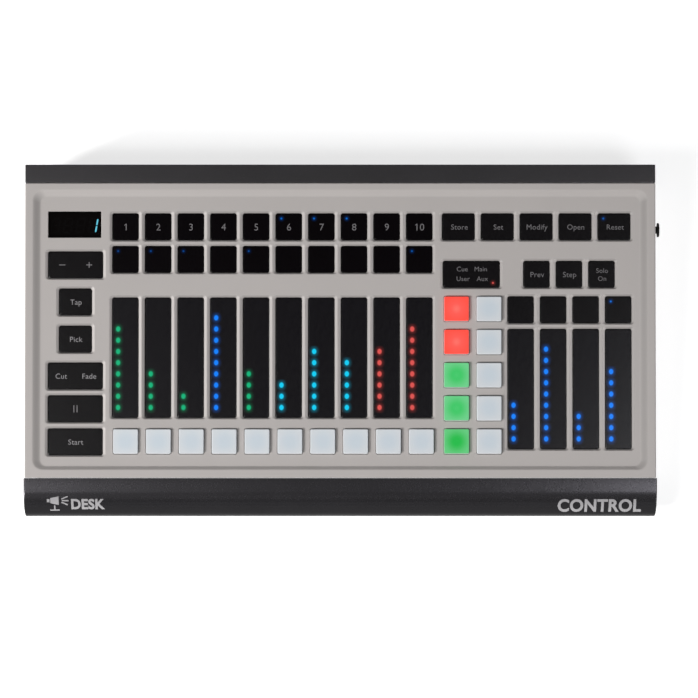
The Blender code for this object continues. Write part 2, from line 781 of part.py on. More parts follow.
def make_usb_socket(look):
    """A square data socket on the main board, its mouth level with the rear wall."""
    width, height = USB_SIZE
    rear = TRAY_REAR_Y + 0.2
    left, right = USB_X - width / 2, USB_X + width / 2
    shell = box_rings(left, right, rear - 15.5, rear, MAIN_BOARD_TOP + GAP, USB_HEIGHT + height / 2)
    body = stacks("usb_socket", [shell], look)
    cut(body, stacks("usb_mouth", [usb_rings(4.3, 4.0, rear - 9.5, rear + 2)]))
    return join(body, stacks("usb_blade", [usb_rings(2.8, 1.6, rear - 10.5, rear - 4.8)]))


def usb_rings(half_width, half_height, y0, y1):
    """A block about the middle of the USB mouth."""
    low, high = USB_HEIGHT - half_height, USB_HEIGHT + half_height
    return box_rings(USB_X - half_width, USB_X + half_width, y0, y1, low, high)


def make_dmx_socket(look):
    """A five-way round lighting-data socket: square flange, barrel, and the pin block deep in its bore."""
    face = TRAY_REAR_Y + GAP
    plate = rounded_outline(DMX_X, DMX_HEIGHT, *DMX_PLATE, 2.5, 2)
    barrel = round_outline(DMX_X, DMX_HEIGHT, DMX_BARREL, 16)
    bore = round_outline(DMX_X, DMX_HEIGHT, 9.6, 16)
    block = round_outline(DMX_X, DMX_HEIGHT, 7.4, 12)
    flange = upright("dmx_socket", plate, face, face + 2.0, look)
    join(flange, upright("dmx_barrel", barrel, face - 21.0, face + 1.0))
    cut(flange, upright("dmx_bore", bore, face - 17.0, face + 5.0))
    join(flange, upright("dmx_block", block, face - 18.0, face - 4.5))
    holes = bmesh.new()
    for x, z in contact_places():
        add_upright(holes, round_outline(x, z, 1.1, 6), face - 12.0, face)
    return cut(flange, finished("dmx_contacts", holes, None, None))


def contact_places():
    """Five contacts on a circle, open towards the top."""
    radius = 4.6
    return [
        (
            DMX_X + radius * math.cos(math.radians(angle)),
            DMX_HEIGHT + radius * math.sin(math.radians(angle)),
        )
        for angle in (135, 202.5, 270, 337.5, 45)
    ]


def turned(name, profile, look=None, parent=None):
    """A round solid about the X axis from (x, radius) points."""
    sides = 16
    mesh = bmesh.new()
    loops = []
    for x, radius in profile:
        turn = [2 * math.pi * i / sides for i in range(sides)]
        loops.append(
            [mesh.verts.new((x * MM, radius * math.cos(a) * MM, radius * math.sin(a) * MM)) for a in turn]
        )
    for low, high in zip(loops, loops[1:]):
        for i in range(sides):
            j = (i + 1) % sides
            mesh.faces.new((low[i], low[j], high[j], high[i]))
    mesh.faces.new(loops[0])
    mesh.faces.new(loops[-1])
    return finished(name, mesh, look, parent)


def make_side_screw(look, frame):
    """The thumb screw in the right side: a dished head on a thick neck, and its shank inside."""
    head, face = SCREW_HEAD
    rim = SCREW_RADIUS
    steps = [(-8.0, SHANK), (GAP, SHANK), (GAP, SCREW_NECK), (head, SCREW_NECK)]
    steps += [(head, rim - 0.4), (head + 1.0, rim), (face, rim - 1.0)]
    screw = turned("side_thumb_screw", [(HALF_WIDTH + out, radius) for out, radius in steps], look, frame)
    return place(screw, 0, SCREW_Y, SCREW_Z)


def main():
    clear_scene()
    looks = make_materials()
    frame = make_panel_frame()
    make_top_cover(looks["beige_paint"], frame)
    make_front_nose(looks["dark_grey"], frame)
    make_rear_rail(looks["dark_grey"], frame)
    make_base_tray(looks["black_steel"])
    make_foot_strips(looks["foot_rubber"])
    make_push_keys(looks, frame)
    make_rockers(looks["black_key"], frame)
    make_touch_mat(looks["black_silicone"], frame)
    make_switch_board(looks["board_green"], frame)
    make_display(looks, frame)
    make_main_board(looks["board_green"])
    make_ribbon_cable(looks["ribbon_grey"])
    make_usb_socket(looks["plated_steel"])
    make_dmx_socket(looks["socket_black"])
    make_side_screw(looks["black_steel"], frame)


main()
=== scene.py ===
"""The looks of the lighting control desk: finer surfaces, materials, legends, lights and the studio.

Sizes are in millimetres. Most pieces are drawn in the panel's own frame, like the part itself: x across,
y up the slope, z out of the face, with z = 0 on the floor of the recess that the keys stand in.
"""

import json
import math

import bmesh
import bpy
from mathutils import Matrix, Vector


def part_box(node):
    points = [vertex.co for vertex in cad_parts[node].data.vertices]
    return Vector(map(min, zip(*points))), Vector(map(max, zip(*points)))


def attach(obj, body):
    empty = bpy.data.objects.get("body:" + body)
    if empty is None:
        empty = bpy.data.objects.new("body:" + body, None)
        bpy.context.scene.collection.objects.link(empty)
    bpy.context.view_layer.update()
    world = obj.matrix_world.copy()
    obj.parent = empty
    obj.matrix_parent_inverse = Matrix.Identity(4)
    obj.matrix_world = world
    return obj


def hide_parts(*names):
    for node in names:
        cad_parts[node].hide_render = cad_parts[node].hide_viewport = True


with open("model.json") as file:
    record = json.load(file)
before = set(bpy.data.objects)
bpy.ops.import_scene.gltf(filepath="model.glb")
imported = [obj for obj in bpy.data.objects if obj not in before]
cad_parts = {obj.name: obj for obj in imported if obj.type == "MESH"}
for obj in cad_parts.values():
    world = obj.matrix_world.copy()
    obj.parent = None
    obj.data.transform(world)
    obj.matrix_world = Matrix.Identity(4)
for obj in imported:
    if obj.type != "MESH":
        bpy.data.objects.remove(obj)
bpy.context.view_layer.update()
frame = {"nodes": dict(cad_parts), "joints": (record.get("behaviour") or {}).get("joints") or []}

MM = 0.001
CASING = "casing"

# The panel, as the part has it
RIM = 2.0
PLATE = 3.0
WALL = 2.5
CLEARANCE = 0.35
CLEARANCE_FRONT = 0.15
CLEARANCE_LEFT = 0.65
FLANGE = 1.0
FLANGE_THICK = 1.2
RIM_SIDE = 4.9  # width of the rim's level top at the left and right
RIM_FRONT = 5.6
RIM_REAR = 4.3
SLOPE_SIDE = 8.0
SLOPE_FRONT = 3.8
SLOPE_REAR = 6.6
BEVEL = 1.95  # sloping edges of a key's pocket
BEVEL_FRONT = 1.2
BEVEL_REAR = 1.6
KEY_CORNER = 1.4
KEY_EDGE = 0.4
PAD_EDGE = 0.45
PAD_CORNER = 1.0
PAD_FACE = (18.75, 18.5)  # above the shoulder that fills its opening
PAD_SHOULDER = 19.35
PAD_LIP = 0.4  # round lip of a pad's opening
WINDOW_LIP = 1.5
SCREW_HOLE = 2.3  # radius, in the right side
WEB = 1.0  # thickness of the touch mat between its islands
WEB_MARGIN = 1.2
POST = (5.0, 5.0, 1.2)  # width, height and corner of a key's plunger
FLANGE_GAP = 0.3  # under the panel
ROCKER_GAP = 1.4
SAME_SPOT = 0.002  # corners closer than this are joined
# The cover's slopes and pockets' edges get the materials with painted shade.
SLOPE_SLOT, BEVEL_SLOT = 1, 2  # the cover's second and third material

# The nose: a level facet, a quarter ellipse and a tucked-in foot
NOSE_FACET = 8.4
NOSE_DROP = 23.5
NOSE_TUCK = 5.0  # by which the foot stands behind the tip

# Lights
METER_PITCH = 8.58
METER_LOWEST = 7.65  # above a strip's front end
METER_SIDE = 4.05  # from a strip's left edge
LAMP_STRETCH = 1.22  # a lamp is this much longer than wide
KEY_LIGHT = (3.9, 3.6)  # from a key's left and rear edges
MODE_LIGHT = (16.4, -6.55)  # from the wide mode key's middle

# Camera
VIEW_DISTANCE = 3000.0
VIEW_WIDTH = 534.0  # seen across at the panel
VIEW_LEAN = 2.0  # degrees by which the camera stands in front of the panel's normal
VIEW_TARGET = (6.7, -14.25)


# ---- frames and places

def find_panel():
    """The panel's frame in the world, found from a key's travel and from the top cover."""
    press = next(j for j in frame["joints"] if j["name"] == "number_key_1_press")
    out = -Vector(press["axis"])
    across = Vector((1, 0, 0))
    turn = Matrix((across, out.cross(across), out)).transposed().to_4x4()
    points = [turn.inverted() @ v.co for v in frame["nodes"]["top_cover"].data.vertices]
    middle = (min(p.y for p in points) + max(p.y for p in points)) / 2
    floor = max(p.z for p in points) - RIM * MM
    return turn @ Matrix.Translation((0, middle, floor))


PANEL = find_panel()
TO_PANEL = PANEL.inverted()
WORLD = Matrix.Identity(4)


def extent(node, where=TO_PANEL):
    """Lowest and highest corner of a CAD node, in millimetres, in the panel's frame."""
    points = [where @ v.co for v in frame["nodes"][node].data.vertices]
    low = Vector(min(p[i] for p in points) for i in range(3)) / MM
    high = Vector(max(p[i] for p in points) for i in range(3)) / MM
    return low, high


def level(y, height):
    """Height in the panel's frame, at y up the slope, of a level plane at this height above the table."""
    out = PANEL.col[2].xyz
    along = PANEL.col[1].xyz
    origin = PANEL.col[3].xyz / MM
    return (height - origin.z - y * along.z) / out.z


COVER = extent("top_cover")
HALF_WIDTH = COVER[1].x
HALF_PANEL = COVER[1].y


# ---- materials

def principled(name, colour, roughness, metallic=0.0, **values):
    """A material with these values on its shader's sockets, where _ stands for a space."""
    made = bpy.data.materials.new(name)
    made.use_nodes = True
    values |= {"Base_Color": (*colour, 1.0), "Roughness": roughness, "Metallic": metallic}
    for socket, value in values.items():
        made.node_tree.nodes["Principled BSDF"].inputs[socket.replace("_", " ")].default_value = value
    return made


def add_node(owner, kind, inputs=None, **settings):
    """A node in a material or world. An input is a value or another node's output."""
    node = owner.node_tree.nodes.new(kind)
    for name, value in settings.items():
        setattr(node, name, value)
    for name, value in (inputs or {}).items():
        if isinstance(value, bpy.types.NodeSocket):
            owner.node_tree.links.new(value, node.inputs[name])
        else:
            node.inputs[name].default_value = value
    return node


def feed(material, socket, value):
    """Links an output to a socket of the material's shader."""
    shader = material.node_tree.nodes["Principled BSDF"]
    material.node_tree.links.new(value, shader.inputs[socket])


def object_place(material):
    return add_node(material, "ShaderNodeTexCoord").outputs["Object"]


def noise(material, size, detail=3.0):
    """Noise whose features are about this many millimetres across."""
    return add_node(
        material,
        "ShaderNodeTexNoise",
        {"Vector": object_place(material), "Scale": 1.0 / (size * MM), "Detail": detail},
    ).outputs["Fac"]


def calculate(material, operation, *values, clamp=False):
    inputs = dict(enumerate(values))
    return add_node(material, "ShaderNodeMath", inputs, operation=operation, use_clamp=clamp).outputs[0]


def times(material, a, b, plus=None):
    """a times b, with a third value added if there is one."""
    if plus is None:
        return calculate(material, "MULTIPLY", a, b)
    return calculate(material, "MULTIPLY_ADD", a, b, plus)


def length(material, across, along):
    return calculate(material, "SQRT", times(material, across, across, times(material, along, along)))


def parts_of(owner, vector):
    """A vector's X, Y and Z as sockets."""
    return add_node(owner, "ShaderNodeSeparateXYZ", {"Vector": vector}).outputs


def spread_over(owner, factor, low, high, out_low, out_high, curve="LINEAR"):
    """Carries a factor from one range to another."""
    return add_node(
        owner,
        "ShaderNodeMapRange",
        {"Value": factor, "From Min": low, "From Max": high, "To Min": out_low, "To Max": out_high},
        interpolation_type=curve,
    ).outputs["Result"]


def mix_colour(material, factor, low, high):
    low, high = (c if isinstance(c, bpy.types.NodeSocket) else (*c, 1.0) for c in (low, high))
    inputs = {0: factor, 6: low, 7: high}
    return add_node(material, "ShaderNodeMix", inputs, data_type="RGBA").outputs[2]


def shade(colour, factor):
    return tuple(min(1.0, c * factor) for c in colour)


def mottle(material, colour, size, amount):
    """Lets the colour drift a little over the surface."""
    drift = spread_over(material, noise(material, size, 2.0), 0.3, 0.7, 0.0, 1.0)
    ends = (shade(colour, 1 - amount), shade(colour, 1 + amount))
    feed(material, "Base Color", mix_colour(material, drift, *ends))


def grain(material, size, height, strength, roughness):
    """A fine moulded or sprayed texture, and roughness that drifts between two values."""
    fine = noise(material, size, 4.0)
    bump = add_node(
        material, "ShaderNodeBump", {"Height": fine, "Strength": strength, "Distance": height * MM}
    )
    feed(material, "Normal", bump.outputs["Normal"])
    feed(material, "Roughness", spread_over(material, noise(material, size * 6, 2.0), 0.3, 0.7, *roughness))


def surface(name, colour, roughness, metallic=0.0, drift=0.03, size=18.0, bump=0.15, sweep=0.1, **values):
    """A painted or moulded surface with a little drift in its colour and a fine texture."""
    made = principled(name, colour, roughness, metallic, **values)
    mottle(made, colour, size, drift)
    grain(made, 0.35, 0.05, bump, (roughness * (1 - sweep), min(1.0, roughness * (1 + sweep))))
    return made


def distance_from(material, x, y):
    """Distance in millimetres, along the face, from a point of the piece."""
    place = parts_of(material, object_place(material))
    return length(
        material, times(material, place["X"], 1 / MM, -x), times(material, place["Y"], 1 / MM, -y)
    )


def glow_falloff(material, distance, core, halo, faint):
    """1 inside the core, a soft edge, and a faint halo that fades away."""
    bright = spread_over(material, distance, core * 1.3, core * 0.75, 0.0, 1.0, "SMOOTHSTEP")
    soft = spread_over(material, distance, halo, 0.0, 0.0, 1.0, "SMOOTHERSTEP")
    return times(material, soft, faint, times(material, bright, 1 - faint))


FLOOR_WHITE = (0.9, 0.9, 0.9)
PANEL_PAINT = (0.464, 0.434, 0.42)
NOSE_GREY = (0.095, 0.091, 0.099)
RAIL_GREY = (0.27, 0.258, 0.27)
# Painted highlight and painted shade of the nose: how far forward its face leans, 0 to 1, and the share of
# its colour that it keeps there, above 1 for painted highlight and below 1 for painted shade.
NOSE_PAINTED_SHADING = (
    (0.15, 1.0), (0.22, 1.25), (0.31, 1.7), (0.38, 1.6), (0.5, 0.64), (0.6, 0.32), (0.72, 0.19), (1.0, 0.19),
)
NO_GRAZING = (0.5, 0.5, 0.5, 1.0)  # keeps the pale floor out of the dark metal's steep edges
BLACK_KEY = (0.0010, 0.0002, 0.0008)
STRIP_BLACK = (0.0010, 0.0002, 0.0018)
KEY_GLOSS = 0.62  # specular level
DEEP_GLOSS = 0.24  # of the two rows of keys over the strips
PAD_WHITE = (0.60, 0.67, 0.73)
GREEN_LIGHT = (0.0, 0.45, 0.185)
BLUE_LIGHT = (0.0, 0.215, 1.0)
CYAN_LIGHT = (0.0, 0.62, 0.92)
RED_LIGHT = (0.72, 0.085, 0.075)


def black_key(name, light=None, spot=None, strength=1.0, gloss=KEY_GLOSS):
    """Satin black plastic. With a light, one small lamp shines through it at the spot."""
    glow = (*(light or (1.0, 1.0, 1.0)), 1.0)
    made = principled(name, BLACK_KEY, 0.25, Specular_IOR_Level=gloss, Emission_Color=glow)
    mottle(made, BLACK_KEY, 9.0, 0.12)
    grain(made, 0.25, 0.03, 0.05, (0.24, 0.27))
    if light:
        falloff = glow_falloff(made, distance_from(made, *spot), 0.7, 3.2, 0.14)
        feed(made, "Emission Strength", times(made, falloff, strength))
    return made


def meter(name, light, count, half_height, side):
    """A dark translucent strip with a column of lamps under it, lit from the front end."""
    made = principled(name, STRIP_BLACK, 0.24, Specular_IOR_Level=0.8, Emission_Color=(*light, 1.0))
    mottle(made, STRIP_BLACK, 14.0, 0.15)
    grain(made, 0.3, 0.03, 0.05, (0.24, 0.27))
    place = parts_of(made, object_place(made))
    start = METER_LOWEST - half_height - METER_PITCH / 2
    lamps = times(made, place["Y"], 1 / (MM * METER_PITCH), -start / METER_PITCH)
    under_top = calculate(made, "LESS_THAN", lamps, float(count))
    over_foot = calculate(made, "GREATER_THAN", lamps, 0.0)
    along = calculate(made, "SUBTRACT", calculate(made, "FRACT", lamps), 0.5)
    along = times(made, along, METER_PITCH / LAMP_STRETCH)
    across = times(made, place["X"], 1 / MM, -side)
    falloff = glow_falloff(made, length(made, across, along), 1.6, 5.0, 0.17)
    feed(made, "Emission Strength", times(made, falloff, times(made, under_top, over_foot)))
    return made


def pad_face(name, centre, edge, glow=0.0, spot=None):
    """A milky pad whose colour changes from its middle to its edge, and that shines if it is lit."""
    made = principled(name, centre, 0.42, Specular_IOR_Level=0.35)
    distance = distance_from(made, 0.0, 0.0)
    factor = spread_over(made, distance, 2.0, 11.5, 0.0, 1.0, "SMOOTHSTEP")
    colour = mix_colour(made, factor, centre, edge)
    if spot:
        near = spread_over(made, distance, 4.5, 0.0, 0.0, 1.0, "SMOOTHSTEP")
        colour = mix_colour(made, near, colour, spot)
    if glow:
        feed(made, "Emission Color", colour)
        made.node_tree.nodes["Principled BSDF"].inputs["Emission Strength"].default_value = glow
        colour = mix_colour(made, factor, shade(centre, 0.15), shade(edge, 0.15))
    feed(made, "Base Color", colour)
    grain(made, 0.4, 0.02, 0.06, (0.4, 0.46))
    return made


def shining(name, light, strength):
    made = principled(name, shade(light, 0.2), 0.4, Emission_Color=(*light, 1.0))
    pulse = spread_over(made, noise(made, 3.0, 1.0), 0.3, 0.7, strength * 0.96, strength * 1.04)
    feed(made, "Emission Strength", pulse)
    return made


def tone(material, value):
    """Multiplies the colour that the material has so far by the value."""
    colour = material.node_tree.nodes["Principled BSDF"].inputs["Base Color"].links[0].from_socket
    toned = add_node(material, "ShaderNodeHueSaturation", {"Color": colour, "Value": value})
    feed(material, "Base Color", toned.outputs["Color"])
    return material


def facing(material):
    """The way a face looks in the piece's own frame, as three sockets."""
    normal = add_node(material, "ShaderNodeTexCoord").outputs["Normal"]
    return parts_of(material, normal)


def dark_metal(name, colour, roughness, metallic):
    return surface(name, colour, roughness, metallic, 0.04, 40.0, 0.005, 0.02, Specular_Tint=NO_GRAZING)


def nose_paint():
    """Dark metal with painted highlight and painted shade by the way the nose's face leans, so that it looks
    even over its curve, which mirrors a dark room and then a pale floor; its ends get painted shade as well.
    """
    made = dark_metal("nose_grey", NOSE_GREY, 0.27, 0.92)
    look = facing(made)
    ramp = add_node(made, "ShaderNodeValToRGB", {"Fac": times(made, look["Y"], -1.0)})
    stops = ramp.color_ramp.elements
    while len(stops) < len(NOSE_PAINTED_SHADING):
        stops.new(0.5)
    for stop, (forward, value) in zip(stops, NOSE_PAINTED_SHADING):
        stop.position = forward
        stop.color = (value / 2, value / 2, value / 2, 1.0)
    # painted shade on the ends of the nose, whose faces lean across the desk
    ends = spread_over(made, times(made, look["X"], look["X"]), 0.06, 0.51, 2.0, 0.48)
    return tone(made, times(made, ramp.outputs["Color"], ends))


def rail_paint():
    """The same dark metal for the rear rail, with painted shade on its upright faces that holds back their
    reflection of the pale room.
    """
    made = dark_metal("rail_grey", RAIL_GREY, 0.25, 0.96)
    return tone(made, spread_over(made, facing(made)["Z"], 0.2, 0.7, 0.22, 1.0))


def panel_paint(name):
    """The desk's pale paint, with painted shade that makes the upright sides a little darker than the side
    light leaves them.
    """
    made = surface(name, PANEL_PAINT, 0.55, 0.0, 0.012, 60.0, 0.12)
    return tone(made, spread_over(made, facing(made)["Z"], -0.1, 0.35, 0.7, 1.0))


def slope_paint():
    """The desk's paint on the recess's slopes, with painted shade: darker the more they lean across the desk,
    and a little the more they lean along it.
    """
    across, lean, along = 2.69, 0.145, 0.38
    made = panel_paint("slope_paint")
    look = facing(made)
    left = times(made, look["X"], lean, times(made, times(made, look["X"], -across), look["X"], 1.0))
    painted_shade_along = times(made, times(made, look["Y"], along), look["Y"])
    return tone(made, calculate(made, "SUBTRACT", left, painted_shade_along, clamp=True))


def bevel_paint():
    """The desk's paint on the pockets' edges, with painted light and shade by the way each edge leans: the
    front and rear edges darker, and the side edges lighter or darker in a way that evens them out more and
    more towards the desk's right.
    """
    made = panel_paint("bevel_paint")
    look = facing(made)
    share = spread_over(made, parts_of(made, object_place(made))["X"], -0.164, 0.2, 0.0, 1.0)
    square = times(made, look["X"], look["X"])
    total = times(made, square, times(made, share, 0.59, 0.39), 1.0)
    total = times(made, look["X"], times(made, share, 1.21, -0.2), total)
    along = times(made, times(made, look["Y"], -0.95), look["Y"])
    return tone(made, calculate(made, "MAXIMUM", calculate(made, "ADD", total, along), 0.0))


def smoked_glass():
    made = principled("smoked_glass", (0.004, 0.003, 0.003), 0.12, Specular_IOR_Level=0.4, Alpha=0.55)
    grain(made, 0.6, 0.01, 0.04, (0.1, 0.14))
    return made


# name, colour, roughness, metallic, drift of the colour, its size and the bump of the plain surfaces
SURFACES = {
    "tray": ("tray_black", (0.014, 0.014, 0.015), 0.55, 0.0, 0.08, 18.0, 0.4),
    "rubber": ("foot_rubber", (0.012, 0.012, 0.012), 0.85, 0.0, 0.1, 6.0, 0.5),
    "board": ("board_green", (0.012, 0.09, 0.035), 0.4, 0.0, 0.12, 4.0, 0.3),
    "ribbon": ("ribbon_grey", (0.32, 0.32, 0.34), 0.55, 0.0, 0.05, 3.0),
    "plated": ("plated_steel", (0.62, 0.62, 0.64), 0.28, 1.0, 0.04, 6.0, 0.1),
    "socket": ("socket_black", (0.012, 0.012, 0.013), 0.42, 0.0, 0.1, 8.0, 0.3),
    "contact": ("contact_gold", (0.75, 0.52, 0.2), 0.3, 1.0, 0.05, 2.0, 0.1),
    "screw": ("screw_black", (0.018, 0.018, 0.019), 0.38, 0.6, 0.1, 3.0, 0.2),
    "zinc": ("screw_zinc", (0.5, 0.5, 0.52), 0.34, 1.0, 0.05, 3.0, 0.15),
    "display": ("display_black", (0.006, 0.006, 0.007), 0.3, 0.0, 0.1, 5.0, 0.1),
    "legend": ("legend_grey", (0.27, 0.26, 0.27), 0.6, 0.0, 0.05, 2.0, 0.1),
    "dim_legend": ("legend_dim", (0.145, 0.138, 0.145), 0.6, 0.0, 0.05, 2.0, 0.1),
    "mark": ("mark_silver", (0.33, 0.32, 0.33), 0.5, 0.0, 0.04, 5.0, 0.1),
    "dark_digit": ("digit_dark", (0.02, 0.022, 0.024), 0.5, 0.0, 0.1, 2.0, 0.1),
    "skirt": ("pad_skirt", (0.5, 0.5, 0.5), 0.6, 0.0, 0.04, 4.0, 0.1),
}


def make_looks():
    looks = {key: surface(*row) for key, row in SURFACES.items()}
    return looks | {
        "panel": panel_paint("panel_paint"),
        "slope": slope_paint(),
        "bevel": bevel_paint(),
        "nose": nose_paint(),
        "rail": rail_paint(),
        "glass": smoked_glass(),
        "digit": shining("digit_cyan", (0.115, 0.52, 0.67), 5.5),
        "key": black_key("black_key"),
        "deep_key": black_key("deep_black_key", gloss=DEEP_GLOSS),
        "white_pad": pad_face("white_pad", PAD_WHITE, (0.68, 0.71, 0.74)),
        "red_pad": pad_face("red_pad", (1.0, 0.10, 0.08), (1.0, 0.075, 0.05), 0.92, (1.0, 0.16, 0.13)),
        "green_pad": pad_face("green_pad", (0.04, 0.60, 0.13), (0.16, 0.66, 0.27), 0.8, (0.06, 0.62, 0.16)),
        "deep_green_pad": pad_face("deep_green_pad", (0.010, 0.52, 0.065), (0.13, 0.62, 0.22), 0.8),
    }


# ---- outlines and solids

def outline(x, y, width, height, radius, steps=6):
    """Points of a rectangle about x, y with round corners."""
    points = []
    for corner, (sx, sy) in enumerate(((1, 1), (-1, 1), (-1, -1), (1, -1))):
        cx = x + sx * (width / 2 - radius)
        cy = y + sy * (height / 2 - radius)
        for step in range(steps + 1):
            angle = math.pi / 2 * (corner + step / steps)
            points.append((cx + radius * math.cos(angle), cy + radius * math.sin(angle)))
    return points


def circle(x, y, radius, sides=32):
    turn = 2 * math.pi / sides
    return [(x + radius * math.cos(turn * i), y + radius * math.sin(turn * i)) for i in range(sides)]


def vertex(mesh, x, y, z=0.0):
    return mesh.verts.new((x * MM, y * MM, z * MM))


def ring(mesh, points, z):
    """Vertices of an outline at a height."""
    return [vertex(mesh, x, y, z) for x, y in points]


def skin(mesh, *loops, look=0):
    """Faces between each ring and the next, in the piece's material of this number."""
    before = len(mesh.faces)
    for low, high in zip(loops, loops[1:]):
        for i in range(len(low)):
            j = (i + 1) % len(low)
            mesh.faces.new((low[i], low[j], high[j], high[i]))
    mesh.faces.ensure_lookup_table()
    for face in mesh.faces[before:]:
        face.material_index = look


def stack(mesh, rings):
    """A pile of (height, outline) rings, with a face at both ends."""
    loops = [ring(mesh, points, z) for z, points in rings]
    skin(mesh, *loops)
    mesh.faces.new(loops[0])
    mesh.faces.new(loops[-1])


def fill(mesh, loops, normal):
    """A flat sheet bounded by the first loop, with a hole at each of the others."""
    edges = []
    for loop in loops:
        for pair in zip(loop, loop[1:] + loop[:1]):
            edges.append(mesh.edges.get(pair) or mesh.edges.new(pair))
    bmesh.ops.triangle_fill(mesh, use_beauty=True, use_dissolve=False, edges=edges, normal=normal)


def put(name, data):
    """A new object in the scene."""
    made = bpy.data.objects.new(name, data)
    bpy.context.scene.collection.objects.link(made)
    return made


def round_edge(inset, drop, steps=4):
    """(inset, depth) pairs of a rounded edge, from the level top to the upright side."""
    pairs = []
    for step in range(steps + 1):
        angle = math.pi / 2 * step / steps
        pairs.append((inset * (1 - math.sin(angle)), drop * (1 - math.cos(angle))))
    return pairs


def soft_top(width, height, top, edge, corner, least=0.5, steps=5, corner_steps=6):
    """(height, outline) rings of a rectangle's rounded top edge, from its face down."""
    return [
        (
            top - depth,
            outline(0, 0, width - 2 * inset, height - 2 * inset, max(least, corner - inset), corner_steps),
        )
        for inset, depth in round_edge(edge, edge, steps)
    ]


def object_from(name, mesh, material, place, where=PANEL, sharp=40.0):
    """Turns a bmesh into a smooth-shaded object at a place of the panel's frame."""
    bmesh.ops.recalc_face_normals(mesh, faces=mesh.faces)
    data = bpy.data.meshes.new(name)
    mesh.to_mesh(data)
    mesh.free()
    data.materials.append(material)
    data.shade_smooth()
    data.set_sharp_from_angle(angle=math.radians(sharp))
    made = put(name, data)
    made.matrix_world = where @ Matrix.Translation(Vector(place) * MM)
    weighted = made.modifiers.new("flat_faces_stay_flat", "WEIGHTED_NORMAL")
    weighted.keep_sharp = True
    return made


def piece(name, mesh, material, body=CASING, place=(0, 0, 0), where=PANEL, stands_for=(), sharp=40.0):
    made = object_from(name, mesh, material, place, where, sharp)
    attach(made, body)
    if stands_for:
        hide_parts(*stands_for)
    return made


# ---- what stands in the panel

def node_place(node):
    """x, y, width, height and top of a key, pad or window from its node, without its flange."""
    low, high = extent(node)
    return (
        (low.x + high.x) / 2,
        (low.y + high.y) / 2,
        high.x - low.x - 2 * FLANGE,
        high.y - low.y - 2 * FLANGE,
        high.z,
    )


def key_nodes():
    return [n for n in frame["nodes"] if n.endswith(("_key", "_rocker")) or n.startswith("number_key_")]


def pad_nodes():
    return [n for n in frame["nodes"] if n.startswith(("flash_pad_", "grid_pad_"))]


def touch_areas():
    """x, y, width, height of each strip and blank key: the level tops that stand up from the mat."""
    mesh = frame["nodes"]["touch_mat"].data
    top = extent("touch_mat")[1].z
    spots = [TO_PANEL @ v.co / MM for v in mesh.vertices]
    spots = [Vector((round(p.x, 2), round(p.y, 2), p.z)) for p in spots]
    groups = []
    for face in mesh.polygons:
        corners = [spots[i] for i in face.vertices]
        if any(abs(c.z - top) > 0.05 for c in corners):
            continue
        keys = {(c.x, c.y) for c in corners}
        touching = [g for g in groups if g & keys]
        groups = [g for g in groups if not g & keys]
        groups.append(keys.union(*touching))
    areas = []
    for group in groups:
        xs = [x for x, _ in group]
        ys = [y for _, y in group]
        width = max(xs) - min(xs)
        height = max(ys) - min(ys)
        areas.append(((max(xs) + min(xs)) / 2, (max(ys) + min(ys)) / 2, width, height))
    return sorted(areas)


AREAS = touch_areas()
STRIPS = [a for a in AREAS if a[3] > 2 * a[2]]
BLANKS = [a for a in AREAS if a[3] <= 2 * a[2]]


# ---- the top cover

def pocket(mesh, x, y, width, height):
    """A key's pocket: its brim on the floor, the sloping edges and the opening. Returns the brim."""
    width += CLEARANCE + CLEARANCE_LEFT
    height += CLEARANCE + CLEARANCE_FRONT
    x -= (CLEARANCE_LEFT - CLEARANCE) / 2
    y += (CLEARANCE - CLEARANCE_FRONT) / 2
    steps = [(1.0, 0.08, 0.0), (1.0, 0.0, 0.04), (0.92, 0.0, 0.13), (0.5, 0.0, 0.6)]
    steps += [(0.08, 0.0, 1.07), (0.0, 0.0, 1.3), (0.0, 0.0, PLATE)]
    loops = []
    for share, extra, depth in steps:
        front, rear, side = (edge * share + extra for edge in (BEVEL_FRONT, BEVEL_REAR, BEVEL))
        corner = KEY_CORNER + CLEARANCE + 0.7 * share + extra
        middle = y + (rear - front) / 2
        points = outline(x, middle, width + 2 * side, height + front + rear, corner, 8)
        loops.append(ring(mesh, points, -depth))
    skin(mesh, *loops, look=BEVEL_SLOT)
    return loops[0]


def plain_opening(mesh, x, y, width, height, radius, lip):
    """An opening with a small round lip. Returns its brim."""
    width += 2 * CLEARANCE
    height += 2 * CLEARANCE
    loops = []
    for inset, depth in round_edge(lip, lip, 3) + [(0.0, PLATE)]:
        points = outline(x, y, width + 2 * inset, height + 2 * inset, radius + inset, 6)
        loops.append(ring(mesh, points, -depth))
    skin(mesh, *loops, look=BEVEL_SLOT)
    return loops[0]


def recess_walls(mesh):
    """The slope from the rim to the floor, level at both ends. Returns its top and bottom rings."""
    rings = []
    steps = 14
    for step in range(steps + 1):
        t = step / steps
        rise = t * t * (3 - 2 * t)
        rise = 0.55 * rise + 0.45 * min(1.0, max(0.0, (t - 0.15) / 0.7))
        if step in (0, steps):
            rise = t
        left = HALF_WIDTH - RIM_SIDE - SLOPE_SIDE * (1 - t)
        rear = HALF_PANEL - RIM_REAR - SLOPE_REAR * (1 - t)
        front = -HALF_PANEL + RIM_FRONT + SLOPE_FRONT * (1 - t)
        points = outline(0, (rear + front) / 2, 2 * left, rear - front, 4.5 + 4.0 * t, 10)
        rings.append(ring(mesh, points, RIM * rise))
    skin(mesh, *rings, look=SLOPE_SLOT)
    return rings[-1], rings[0]


